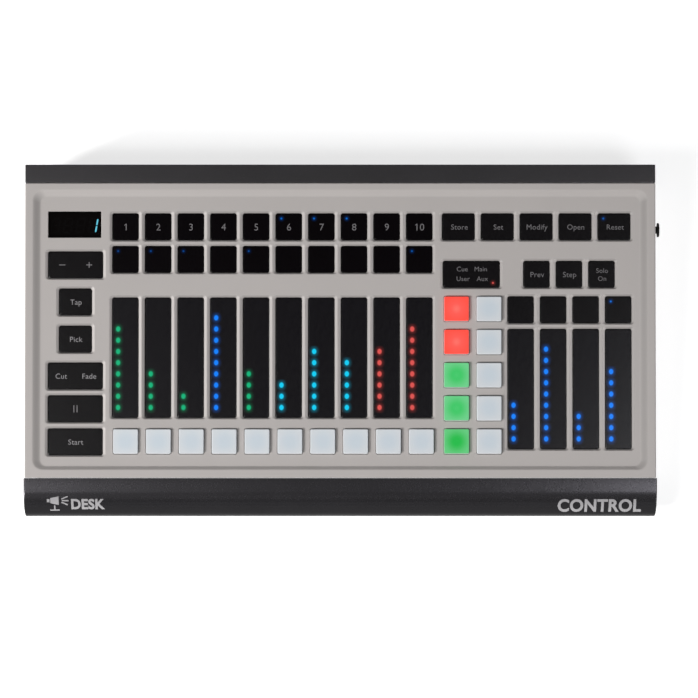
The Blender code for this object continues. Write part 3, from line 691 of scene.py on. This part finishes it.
def side_sheet(mesh, side, hole=None):
    """One folded-down side as a flat sheet, with an optional round hole (y, z, radius)."""
    x = side * HALF_WIDTH
    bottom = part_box("top_cover")[0].z / MM
    corners = [(-HALF_PANEL, -PLATE), (HALF_PANEL, -PLATE)]
    corners += [(y, level(y, bottom)) for y in (HALF_PANEL, -HALF_PANEL)]
    loop = [vertex(mesh, x, y, z) for y, z in corners]
    loops = [loop]
    if hole:
        rim = circle(*hole, 24)
        outer = [vertex(mesh, x, a, b) for a, b in rim]
        skin(mesh, outer, [vertex(mesh, x - side * WALL, a, b) for a, b in rim])
        loops.append(outer)
    fill(mesh, loops, (side, 0, 0))
    inside = [vertex(mesh, x - side * WALL, y, z) for y, z in corners]
    for i, j in ((2, 3), (1, 2), (3, 0)):
        mesh.faces.new((loop[i], loop[j], inside[j], inside[i]))


def make_cover(looks):
    mesh = bmesh.new()
    holes = [pocket(mesh, *node_place(node)[:4]) for node in key_nodes()]
    holes += [pocket(mesh, *area) for area in AREAS]
    holes += [plain_opening(mesh, *node_place(node)[:4], KEY_CORNER, PAD_LIP) for node in pad_nodes()]
    holes.append(plain_opening(mesh, *window_place(), 0.5, 0.45))
    high, low = recess_walls(mesh)
    fill(mesh, [low] + holes, (0, 0, 1))
    edge = 0.9
    loops = []
    for inset, depth in round_edge(edge, edge, 5):
        width = 2 * (HALF_WIDTH - inset)
        height = 2 * (HALF_PANEL - inset * 0.35)
        loops.append(ring(mesh, outline(0, 0, width, height, 0.5, 3), RIM - depth))
    skin(mesh, *loops)
    fill(mesh, [loops[0], high], (0, 0, 1))
    skin(mesh, loops[-1], ring(mesh, outline(0, 0, 2 * HALF_WIDTH, 2 * HALF_PANEL, 0.5, 3), -PLATE))
    bmesh.ops.remove_doubles(mesh, verts=mesh.verts, dist=SAME_SPOT * MM)
    sides = bmesh.new()
    side_sheet(sides, -1)
    low, high = extent("side_thumb_screw")
    side_sheet(sides, 1, ((low.y + high.y) / 2, (low.z + high.z) / 2, SCREW_HOLE))
    bmesh.ops.transform(sides, matrix=PANEL, verts=sides.verts)
    for name, shape, where in (("panel_sides", sides, WORLD), ("panel", mesh, PANEL)):
        made = piece(
            name, shape, looks["panel"], where=where, stands_for=["top_cover"], sharp=50.0
        )
    made.data.materials.append(looks["slope"])
    made.data.materials.append(looks["bevel"])


def window_place():
    """x, y, width and height of the window, without the lip that holds it."""
    low, high = extent("display_window")
    width, height = (high[i] - low[i] - 2 * WINDOW_LIP for i in (0, 1))
    return (low.x + high.x) / 2, (low.y + high.y) / 2, width, height


# ---- keys, pads and strips

def cap(mesh, node):
    """A key from its rounded top edge down its side, with the flange and plunger under it."""
    _, _, width, height, top = node_place(node)
    tip = extent(node)[0].z
    rocker = node.endswith("_rocker")
    flange_top = -PLATE - (ROCKER_GAP if rocker else FLANGE_GAP)
    flange_bottom = flange_top - FLANGE_THICK
    brim = outline(0, 0, width + 2 * FLANGE, height + 2 * FLANGE, KEY_CORNER + FLANGE)
    rings = soft_top(width, height, top, KEY_EDGE, KEY_CORNER)
    rings.append((flange_top, outline(0, 0, width, height, KEY_CORNER)))
    rings += [(flange_top, brim), (flange_bottom, brim)]
    if not rocker:
        post = outline(0, 0, *POST)
        stack(mesh, rings + [(flange_bottom, post), (tip, post)])
        return
    stack(mesh, rings)
    posts = ((-12.0, 5.0, 5.0, -6.5), (12.0, 5.0, 5.0, -6.5), (0.0, 2.0, 12.0, tip))
    for x, post_width, post_height, low in posts:
        points = outline(x, 0, post_width, post_height, 0.6, 3)
        stack(mesh, [(flange_bottom + 0.1, points), (low, points)])


def pad_cap(mesh, node):
    """A pad from its face down: the face, a shoulder level with the panel, the flange and the plunger."""
    low, high = extent(node)
    shoulder = outline(0, 0, PAD_SHOULDER, PAD_SHOULDER, KEY_CORNER)
    side = PAD_SHOULDER - 0.25 + 2 * FLANGE
    brim = outline(0, 0, side, side, KEY_CORNER + FLANGE)
    post = outline(0, 0, *POST)
    flange_top = -PLATE - FLANGE_GAP
    flange_bottom = flange_top - FLANGE_THICK
    rings = soft_top(*PAD_FACE, high.z, PAD_EDGE, PAD_CORNER)
    rings += [(0.1, outline(0, 0, *PAD_FACE, PAD_CORNER)), (-0.1, shoulder), (flange_top, shoulder)]
    rings += [(flange_top, brim), (flange_bottom, brim), (flange_bottom, post), (low.z, post)]
    stack(mesh, rings)
    for face in mesh.faces:
        face.material_index = int(face.calc_center_median().z < 0.12 * MM)


def make_caps(looks):
    for node in key_nodes() + pad_nodes():
        x, y, width, height, _ = node_place(node)
        mesh = bmesh.new()
        pad = node in pad_nodes()
        if pad:
            pad_cap(mesh, node)
            name, slot = pad_look(node)
            look = looks[name]
        else:
            cap(mesh, node)
            look, slot = key_look(node, looks, width, height), "black_key"
        made = piece(f"{node}_cap", mesh, look, f"{node}_body", (x, y, 0), stands_for=[node])
        if pad:
            made.data.materials.append(looks["skirt"])


def lamp_corner(width, height):
    """Where the small lamp shines in the rear left corner of a key."""
    return KEY_LIGHT[0] - width / 2, height / 2 - KEY_LIGHT[1]


def key_look(node, looks, width, height):
    """Most keys are plain black. Those whose small lamp is lit have their own material."""
    corner = lamp_corner(width, height)
    if node in ("number_key_6", "number_key_7", "number_key_8"):
        return black_key(f"{node}_face", BLUE_LIGHT, corner, 0.55, DEEP_GLOSS)
    if node.startswith("number_key"):
        return looks["deep_key"]
    if node == "reset_key":
        return black_key(f"{node}_face", BLUE_LIGHT, corner, 0.4)
    if node == "mode_key":
        return black_key(f"{node}_face", RED_LIGHT, MODE_LIGHT, 0.9)
    return looks["key"]


def pad_look(node):
    if node.startswith("flash") or "_b" in node:
        return "white_pad", "white_pad"
    if node.endswith(("1", "2")):
        return "red_pad", "red_pad"
    return ("deep_green_pad" if node.endswith("5") else "green_pad"), "green_pad"


METERS = [
    (GREEN_LIGHT, 8), (GREEN_LIGHT, 4), (GREEN_LIGHT, 2), (BLUE_LIGHT, 9), (GREEN_LIGHT, 4),
    (CYAN_LIGHT, 3), (CYAN_LIGHT, 6), (CYAN_LIGHT, 5), (RED_LIGHT, 6), (RED_LIGHT, 8),
    (BLUE_LIGHT, 4), (BLUE_LIGHT, 9), (BLUE_LIGHT, 3), (BLUE_LIGHT, 7),
]
BLANK_GLOW = 0.36
LIT_BLANKS = {1: 0.6, 2: 0.65, 3: 0.65, 5: 0.75, 10: 1.0, 14: 1.9}


def make_touch_mat(looks):
    """The strips and blank keys as islands of one moulding, and the web that joins them."""
    low, high = (corner.z for corner in extent("touch_mat"))
    for number, (area, (light, count)) in enumerate(zip(STRIPS, METERS), 1):
        look = meter(f"strip_{number}_face", light, count, area[3] / 2, METER_SIDE - area[2] / 2)
        make_island(f"strip_{number}", area, low, high, look)
    for number, area in enumerate(BLANKS, 1):
        deep = number <= 10
        look = looks["deep_key" if deep else "key"]
        if number in LIT_BLANKS:
            gloss = DEEP_GLOSS if deep else KEY_GLOSS
            strength = LIT_BLANKS[number] * BLANK_GLOW
            look = black_key(f"blank_{number}_face", BLUE_LIGHT, lamp_corner(*area[2:]), strength, gloss)
        make_island(f"blank_{number}", area, low, high, look)
    mesh = bmesh.new()
    for group in ([a for a in AREAS if a[0] < 100], [a for a in AREAS if a[0] > 100]):
        x0, y0 = (min(a[i] - a[i + 2] / 2 for a in group) - WEB_MARGIN for i in (0, 1))
        x1, y1 = (max(a[i] + a[i + 2] / 2 for a in group) + WEB_MARGIN for i in (0, 1))
        points = outline((x0 + x1) / 2, (y0 + y1) / 2, x1 - x0, y1 - y0, 1.0)
        stack(mesh, [(low, points), (low + WEB, points)])
    piece("mat_web", mesh, looks["key"], stands_for=["touch_mat"])


def make_island(name, area, low, high, look):
    x, y, width, height = area
    mesh = bmesh.new()
    base = (low + WEB, outline(0, 0, width, height, KEY_CORNER))
    stack(mesh, soft_top(width, height, high, KEY_EDGE, KEY_CORNER) + [base])
    piece(name, mesh, look, place=(x, y, 0))


# ---- legends

CAP_SHARE = 0.729  # height of a capital as a share of the font's size


def text_mesh(text, cap_height, bold=0.0):
    """A flat bmesh of the text, centred on its own box, with capitals of this height."""
    curve = bpy.data.curves.new("legend", "FONT")
    curve.body = text
    curve.size = cap_height / CAP_SHARE * MM
    curve.offset = bold * MM
    curve.align_x = "CENTER"
    curve.space_character = 1.04
    curve.resolution_u = 4
    holder = put("legend", curve)
    bpy.context.view_layer.update()
    data = bpy.data.meshes.new_from_object(holder.evaluated_get(bpy.context.evaluated_depsgraph_get()))
    mesh = bmesh.new()
    mesh.from_mesh(data)
    bpy.data.objects.remove(holder)
    bpy.data.curves.remove(curve)
    bpy.data.meshes.remove(data)
    bmesh.ops.translate(mesh, verts=mesh.verts, vec=(0, -cap_height / 2 * MM, 0))
    return mesh


def flat_face(mesh, points, z=0.0):
    mesh.faces.new([vertex(mesh, x, y, z) for x, y in points])


def bars(mesh, rectangles):
    """Flat printed bars: x, y, width, height."""
    for x, y, width, height in rectangles:
        corners = ((-1, -1), (1, -1), (1, 1), (-1, 1))
        flat_face(mesh, [(x + sx * width / 2, y + sy * height / 2) for sx, sy in corners])
    return mesh


def print_on(name, mesh, material, node, dx=0.0, dy=0.0):
    """Puts a flat print on a key's face, so that it moves with the key."""
    x, y, _, _, top = node_place(node)
    return piece(name, mesh, material, f"{node}_body", (x + dx, y + dy, top + 0.03))


def flagged(mesh):
    """Gives a numeral that starts with a 1 the flag that the font leaves out."""
    left = min(v.co.x for v in mesh.verts) / MM
    top = max(v.co.y for v in mesh.verts) / MM
    flag = [(left - 1.05, top - 1.0), (left - 1.05, top - 1.6), (left + 0.2, top - 0.75), (left + 0.2, top)]
    flat_face(mesh, flag, 0.01)
    return mesh


LEFT_KEYS = ("tap_key", "pick_key", "start_key", "cut_fade_rocker")
WORDS = {  # capital height, then each word and its place on the key
    "store_key": (4.2, ("Store", 0.7, 0)),
    "set_key": (4.2, ("Set", 0.7, 0)),
    "modify_key": (4.2, ("Modify", 0.4, 0)),
    "open_key": (4.2, ("Open", 0.4, 0)),
    "reset_key": (4.2, ("Reset", 0.7, 0)),
    "previous_key": (4.2, ("Prev", 0.3, 0)),
    "step_key": (4.2, ("Step", 0.3, 0)),
    "tap_key": (4.2, ("Tap", 0.2, 0)),
    "pick_key": (4.2, ("Pick", 0.2, 0)),
    "start_key": (4.2, ("Start", 0.2, 0)),
    "solo_key": (3.7, ("Solo", 0.3, 3.0), ("On", 0.3, -3.1)),
    "mode_key": (3.7, ("Cue", -7.1, 4.2), ("Main", 7.1, 4.2), ("User", -6.5, -3.2), ("Aux", 8.3, -3.2)),
    "cut_fade_rocker": (4.2, ("Cut", -11.0, 0.0), ("Fade", 10.4, 0.0)),
}


def make_legends(looks):
    for number in range(1, 11):
        node = f"number_key_{number}"
        numeral = text_mesh(str(number), 5.5)
        if number in (1, 10):
            flagged(numeral)
        print_on(f"{node}_print", numeral, looks["dim_legend"], node, 0.3 if number == 1 else 0.0)
    for node, (size, *words) in WORDS.items():
        look = looks["legend" if node in LEFT_KEYS else "dim_legend"]
        for word, dx, dy in words:
            name = f"{node}_{word.lower()}_print" if len(words) > 1 else f"{node}_print"
            print_on(name, text_mesh(word, size), look, node, dx, dy)
    signs = {
        "page_rocker_minus": (-10.4, [(0, 0, 4.6, 0.45)]),
        "page_rocker_plus": (10.2, [(0, 0, 4.6, 0.45), (0, 1.2, 0.45, 2.1), (0, -1.2, 0.45, 2.1)]),
        "pause_key": (0.0, [(-1.2, 0, 0.5, 5.4), (1.2, 0, 0.5, 5.4)]),
    }
    for name, (dx, rectangles) in signs.items():
        node = "pause_key" if name == "pause_key" else "page_rocker"
        print_on(f"{name}_print", bars(bmesh.new(), rectangles), looks["legend"], node, dx)


# ---- display

def segment(mesh, x0, y0, x1, y1, width, lean):
    """One bar of a digit, with pointed ends, leaning to the right."""
    along = Vector((x1 - x0, y1 - y0)).normalized()
    side = Vector((-along.y, along.x)) * width / 2
    a = Vector((x0, y0)) + along * 0.15
    b = Vector((x1, y1)) - along * 0.15
    tip = along * width / 2
    points = [a, a + tip + side, b - tip + side, b, b - tip - side, a + tip - side]
    flat_face(mesh, [(p.x + p.y * lean, p.y) for p in points])


def make_display(looks):
    x, y, width, height = window_place()
    low, high = extent("display_window")
    mesh = bmesh.new()
    lip = outline(0, 0, width + 2 * WINDOW_LIP, height + 2 * WINDOW_LIP, 0.8, 4)
    rings = soft_top(width, height, high.z, 0.25, 0.35, 0.35, 3, 4)
    rings += [(low.z + 1.0, outline(0, 0, width, height, 0.35, 4)), (low.z + 1.0, lip), (low.z, lip)]
    stack(mesh, rings)
    place = (x, y, 0)
    piece("window_pane", mesh, looks["glass"], place=place, stands_for=["display_window"])
    low, high = extent("display_module")
    mesh = bmesh.new()
    size = (high.x - low.x, high.y - low.y)
    stack(mesh, soft_top(*size, high.z, 0.3, 0.5, 0.5, 3, 4) + [(low.z, outline(0, 0, *size, 0.5, 4))])
    piece("digit_module", mesh, looks["display"], place=place, stands_for=["display_module"])
    lit, dark = bmesh.new(), bmesh.new()
    half, wide, thick, lean = 5.3, 5.6, 1.15, 0.17
    first_right, pitch = 16.5, 9.6
    for digit in range(4):
        right = first_right - pitch * digit
        left = right - wide
        for row in (-half, 0.0):
            segment(dark if digit else lit, right, row, right, row + half, thick, lean)
        for row in (-half, 0.0):
            segment(dark, left, row, left, row + half, thick, lean)
        for row in (-half, 0.0, half):
            segment(dark, left, row, right, row, thick, lean)
    place = (x, y - 0.5, high.z + 0.05)
    piece("digit_lit", lit, looks["digit"], place=place)
    piece("digit_dark", dark, looks["dark_digit"], place=place)


# ---- nose and rail

def nose_shape():
    """Where the nose ends in front and at the rear, and where its facet meets the curve."""
    low, high = extent("front_nose")
    return low.y, high.y, high.y - NOSE_FACET


def nose_height(y):
    """Height of the nose's face, at y up the slope, on the facet and the ellipse."""
    front, rear, facet = nose_shape()
    if y > facet:
        return RIM - 0.5 * (rear - y) / NOSE_FACET
    share = min(1.0, (facet - y) / (facet - front))
    return RIM - 0.5 - NOSE_DROP + NOSE_DROP * math.sqrt(1 - share * share)


def nose_profile(inset):
    """The nose in side view, drawn smaller by the inset all round."""
    front, rear, facet = nose_shape()
    reach = facet - front - inset
    drop = NOSE_DROP - inset
    centre = RIM - 0.5 - NOSE_DROP
    points = [(rear, RIM - 0.35 - inset), (rear - 0.35, RIM - inset), (facet + 2.0, RIM - 0.38 - inset)]
    steps = 28
    for step in range(steps + 1):
        angle = math.pi / 2 * step / steps
        points.append((facet - reach * math.sin(angle), centre + drop * math.cos(angle)))
    front = points[-1][0]
    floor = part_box("front_nose")[0].z / MM + inset
    foot = front + NOSE_TUCK
    foot_z = level(foot, floor)
    for step in range(1, 9):
        t = step / 9
        points.append((front + (foot - front) * t * t, centre + (foot_z - centre) * t))
    return points + [(foot, foot_z), (rear, level(rear, floor))]


def make_nose(looks):
    mesh = bmesh.new()
    radius = 1.1
    half = extent("front_nose")[1].x
    rings = []
    for side in (-1, 1):
        row = []
        for inset, away in round_edge(radius, radius, 5):
            row.append([vertex(mesh, side * (half - inset), y, z) for y, z in nose_profile(away)])
        rings.append(row)
    for row in rings:
        skin(mesh, *row)
        mesh.faces.new(row[-1])
    skin(mesh, rings[0][0], rings[1][0])
    piece("nose", mesh, looks["nose"], stands_for=["front_nose"], sharp=55.0)


def wrap_on_nose(mesh, x, y):
    """Lays a flat print on the nose's face, cut finely enough to follow its curve."""
    bmesh.ops.translate(mesh, verts=mesh.verts, vec=(x * MM, y * MM, 0))
    ys = [v.co.y for v in mesh.verts]
    cut = min(ys)
    while cut < max(ys):
        geometry = mesh.verts[:] + mesh.edges[:] + mesh.faces[:]
        bmesh.ops.bisect_plane(mesh, geom=geometry, plane_co=(0, cut, 0), plane_no=(0, 1, 0))
        cut += 0.6 * MM
    for spot in mesh.verts:
        spot.co.z = (nose_height(spot.co.y / MM) + 0.06) * MM


def lamp_icon():
    """A plain spotlight: a tapered body, a yoke and three rays."""
    mesh = bmesh.new()
    flat_face(mesh, [(-7.0, 2.6), (1.0, 4.4), (1.0, -4.4), (-7.0, -2.6)])
    bars(mesh, [(-9.0, 0, 2.6, 3.2), (-3.0, -7.0, 1.2, 4.4), (-3.0, -9.6, 9.0, 1.2)])
    for angle in (-24, 0, 24):
        along = Vector((math.cos(math.radians(angle)), math.sin(math.radians(angle))))
        side = Vector((-along.y, along.x)) * 0.65
        start = along * 4.0
        end = along * 10.5
        flat_face(mesh, [start + side, start - side, end - side, end + side])
    bmesh.ops.scale(mesh, vec=(0.8, 0.75, 1.0), verts=mesh.verts)
    return mesh


def make_marks(looks):
    marks = (
        ("left", lamp_icon(), -216.0, -130.2),
        ("name", text_mesh("DESK", 7.6, 0.4), -193.5, -132.6),
        ("right", text_mesh("CONTROL", 9.4, 0.42), 198.0, -133.6),
    )
    for name, mesh, x, y in marks:
        wrap_on_nose(mesh, x, y)
        piece(f"nose_mark_{name}", mesh, looks["mark"])


# ---- softened copies of plain nodes

def softened(node, name, material, width, segments):
    """A copy of a node's own shape with its sharp edges rounded off."""
    mesh = bmesh.new()
    mesh.from_mesh(frame["nodes"][node].data)
    bmesh.ops.remove_doubles(mesh, verts=mesh.verts, dist=SAME_SPOT * MM)
    bmesh.ops.dissolve_limit(
        mesh, angle_limit=math.radians(1.0), verts=mesh.verts, edges=mesh.edges, use_dissolve_boundaries=False
    )
    mesh.normal_update()
    sharp = [
        e for e in mesh.edges
        if len(e.link_faces) == 2 and e.calc_face_angle(0.0) > math.radians(35.0)
        and e.calc_length() > 3.0 * width * MM
    ]
    bmesh.ops.bevel(
        mesh, geom=sharp, offset=width * MM, segments=segments,
        profile=0.5, affect="EDGES", clamp_overlap=True,
    )
    piece(name, mesh, material, where=WORLD, stands_for=[node], sharp=35.0)


def make_softened(looks):
    rows = (
        ("rear_rail", "rail", "rail", "dark_grey", 0.6, 3),
        ("base_tray", "tray", "tray", "black_steel", 0.3, 2),
        ("front_foot_strip", "front_foot", "rubber", "foot_rubber", 0.6, 3),
        ("rear_foot_strip", "rear_foot", "rubber", "foot_rubber", 0.6, 3),
        ("usb_socket", "data_socket", "plated", "plated_steel", 0.25, 2),
        ("dmx_socket", "lighting_socket", "socket", "socket_black", 0.3, 2),
    )
    for node, name, look, slot, width, segments in rows:
        softened(node, name, looks[look], width, segments)


def dress_inside(looks):
    """Gives the nodes that are shown as they are their materials."""
    for node, look in (("switch_board", "board"), ("main_board", "board"), ("ribbon_cable", "ribbon")):
        for slot in frame["nodes"][node].material_slots:
            slot.link = "OBJECT"
            slot.material = looks[look]


# ---- screws

def screw_head(mesh, x, y, z, radius, turn, up=1.0):
    """A low domed head with a cross recess, facing +z or -z."""
    profile = ((1.0, 0.0), (1.0, 0.35), (0.92, 0.75), (0.7, 1.15), (0.52, 1.3))
    loops = [ring(mesh, circle(x, y, radius * share, 28), z + up * height) for share, height in profile]
    skin(mesh, *loops)
    arm = radius * 0.46
    thin = radius * 0.11
    cross = []
    for quarter in range(4):
        angle = math.pi / 2 * quarter + turn
        for a, b in ((arm, -thin), (arm, thin), (thin, thin)):
            cross.append(
                (x + a * math.cos(angle) - b * math.sin(angle), y + a * math.sin(angle) + b * math.cos(angle))
            )
    mouth = ring(mesh, cross, z + up * 1.3)
    bottom = ring(mesh, cross, z + up * 0.5)
    fill(mesh, [loops[-1], mouth], (0, 0, up))
    skin(mesh, mouth, bottom)
    mesh.faces.new(bottom)


def world_box(node):
    return [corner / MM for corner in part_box(node)]


def make_tray_screws(looks):
    """Screws under the tray, in two rows."""
    low, high = world_box("base_tray")
    mesh = bmesh.new()
    count, margin = 5, 18.0
    for i in range(count):
        x = low.x + margin + (high.x - low.x - 2 * margin) * i / (count - 1)
        for j, y in enumerate((low.y + 25.0, high.y - 40.0)):
            screw_head(mesh, x, y, low.z, 3.2, 0.7 * i + j, -1.0)
    piece("tray_screws", mesh, looks["zinc"], where=WORLD, sharp=35.0)


def make_socket_screws(looks):
    """Two screws in the round socket's flange, and its contacts."""
    low, high = world_box("dmx_socket")
    middle = Vector(((low.x + high.x) / 2, high.y, (low.z + high.z) / 2))
    turn = Matrix.Translation(middle * MM) @ Matrix.Rotation(-math.pi / 2, 4, "X")
    mesh = bmesh.new()
    for sx, sy in ((-1, 1), (1, -1)):
        screw_head(mesh, sx * 9.8, sy * 12.2, -0.05, 1.7, 0.4 * sx)
    piece("socket_screws", mesh, looks["zinc"], where=turn, sharp=35.0)
    mesh = bmesh.new()
    for angle in (135, 202.5, 270, 337.5, 45):
        a = math.radians(angle)
        tube = [(-12.3, 0.95), (-7.05, 0.95), (-6.85, 0.85), (-6.85, 0.55), (-11.3, 0.55)]
        stack(mesh, [(h, circle(4.6 * math.cos(a), -4.6 * math.sin(a), r, 20)) for h, r in tube])
    piece("socket_contacts", mesh, looks["contact"], where=turn, sharp=35.0)


def make_thumb_screw(looks):
    """The screw in the right side: a dished, knurled head on a thick neck, and its shank."""
    low, high = extent("side_thumb_screw")
    place = (0, (low.y + high.y) / 2, (low.z + high.z) / 2)
    face = high.x
    sides = 72
    profile = [
        (low.x, 1.5), (low.x + 0.5, 1.9), (face - 3.8, 1.9), (face - 3.8, 2.6), (face - 3.6, 2.8),
        (face - 1.9, 2.8), (face - 1.75, 5.0), (face - 1.6, 5.35), (face - 0.7, 5.6), (face - 0.2, 5.3),
        (face, 4.7), (face - 0.1, 4.2), (face - 0.6, 3.2), (face - 0.75, 1.5),
    ]
    mesh = bmesh.new()
    loops = []
    for out, radius in profile:
        loop = []
        for i in range(sides):
            knurl = 0.16 * (i % 3 == 0) if 5.0 < radius < 5.65 else 0.0
            angle = 2 * math.pi * i / sides
            r = radius - knurl
            loop.append(vertex(mesh, out, r * math.cos(angle), r * math.sin(angle)))
        loops.append(loop)
    skin(mesh, *loops)
    mesh.faces.new(loops[0])
    mesh.faces.new(loops[-1])
    node = "side_thumb_screw"
    piece(
        "thumb_screw", mesh, looks["screw"], f"{node}_body", place,
        stands_for=[node], sharp=30.0,
    )


# ---- studio

def make_floor():
    mesh = bmesh.new()
    bmesh.ops.create_grid(mesh, x_segments=1, y_segments=1, size=6.0)
    data = bpy.data.meshes.new("floor")
    mesh.to_mesh(data)
    mesh.free()
    floor = put("floor", data)
    made = principled("floor_white", FLOOR_WHITE, 0.9, Emission_Color=(1, 1, 1, 1), Emission_Strength=0.72)
    mottle(made, FLOOR_WHITE, 900.0, 0.004)
    data.materials.append(made)


def area_light(name, place, size, power, colour=(1, 1, 1)):
    """A soft light at a place of the panel's frame, in metres, turned to the panel's middle."""
    data = bpy.data.lights.new(name, "AREA")
    data.shape = "RECTANGLE"
    data.size, data.size_y = size
    data.energy = power
    data.color = colour
    light = put(name, data)
    light.location = PANEL @ Vector(place)
    light.rotation_euler = (PANEL.col[3].xyz - light.location).to_track_quat("-Z", "Y").to_euler()


def make_lights():
    """One strong light low at the left, two softboxes beside the camera, and a white room round them."""
    area_light("key_light", (-2.3, -1.15, 2.0), (0.8, 0.8), 92.0, (1.0, 0.992, 0.98))
    area_light("left_box", (-0.93, -0.42, 2.2), (0.35, 0.35), 9.0)
    area_light("right_box", (0.59, -0.27, 1.2), (0.35, 0.35), 3.2, (0.96, 0.97, 1.0))
    world = bpy.data.worlds.new("studio")
    bpy.context.scene.world = world
    world.use_nodes = True
    sky = world.node_tree.nodes["Background"]
    direction = add_node(world, "ShaderNodeTexCoord").outputs["Generated"]
    strength = spread_over(world, parts_of(world, direction)["Z"], 0.1, 0.5, 0.9, 0.006, "SMOOTHSTEP")
    world.node_tree.links.new(strength, sky.inputs["Strength"])
    sky.inputs["Color"].default_value = (0.98, 0.99, 1.0, 1.0)


def make_camera():
    """The camera looks straight onto the panel, from a little in front of its normal."""
    data = bpy.data.cameras.new("camera")
    camera = put("camera", data)
    target = PANEL @ (Vector((*VIEW_TARGET, 0)) * MM)
    lean = Matrix.Rotation(math.radians(VIEW_LEAN), 4, "X")
    turn = PANEL.to_3x3().to_4x4() @ lean
    camera.matrix_world = Matrix.Translation(target) @ turn @ Matrix.Translation((0, 0, VIEW_DISTANCE * MM))
    data.angle = 2 * math.atan(VIEW_WIDTH / 2 / VIEW_DISTANCE)
    data.clip_end = 50.0
    bpy.context.scene.camera = camera
    bpy.context.scene.view_settings.view_transform = "Standard"


looks = make_looks()
for make in (
    make_cover, make_caps, make_touch_mat, make_legends, make_display, make_nose, make_marks,
    make_softened, dress_inside, make_tray_screws, make_socket_screws, make_thumb_screw,
):
    make(looks)
make_floor()
make_lights()
make_camera()
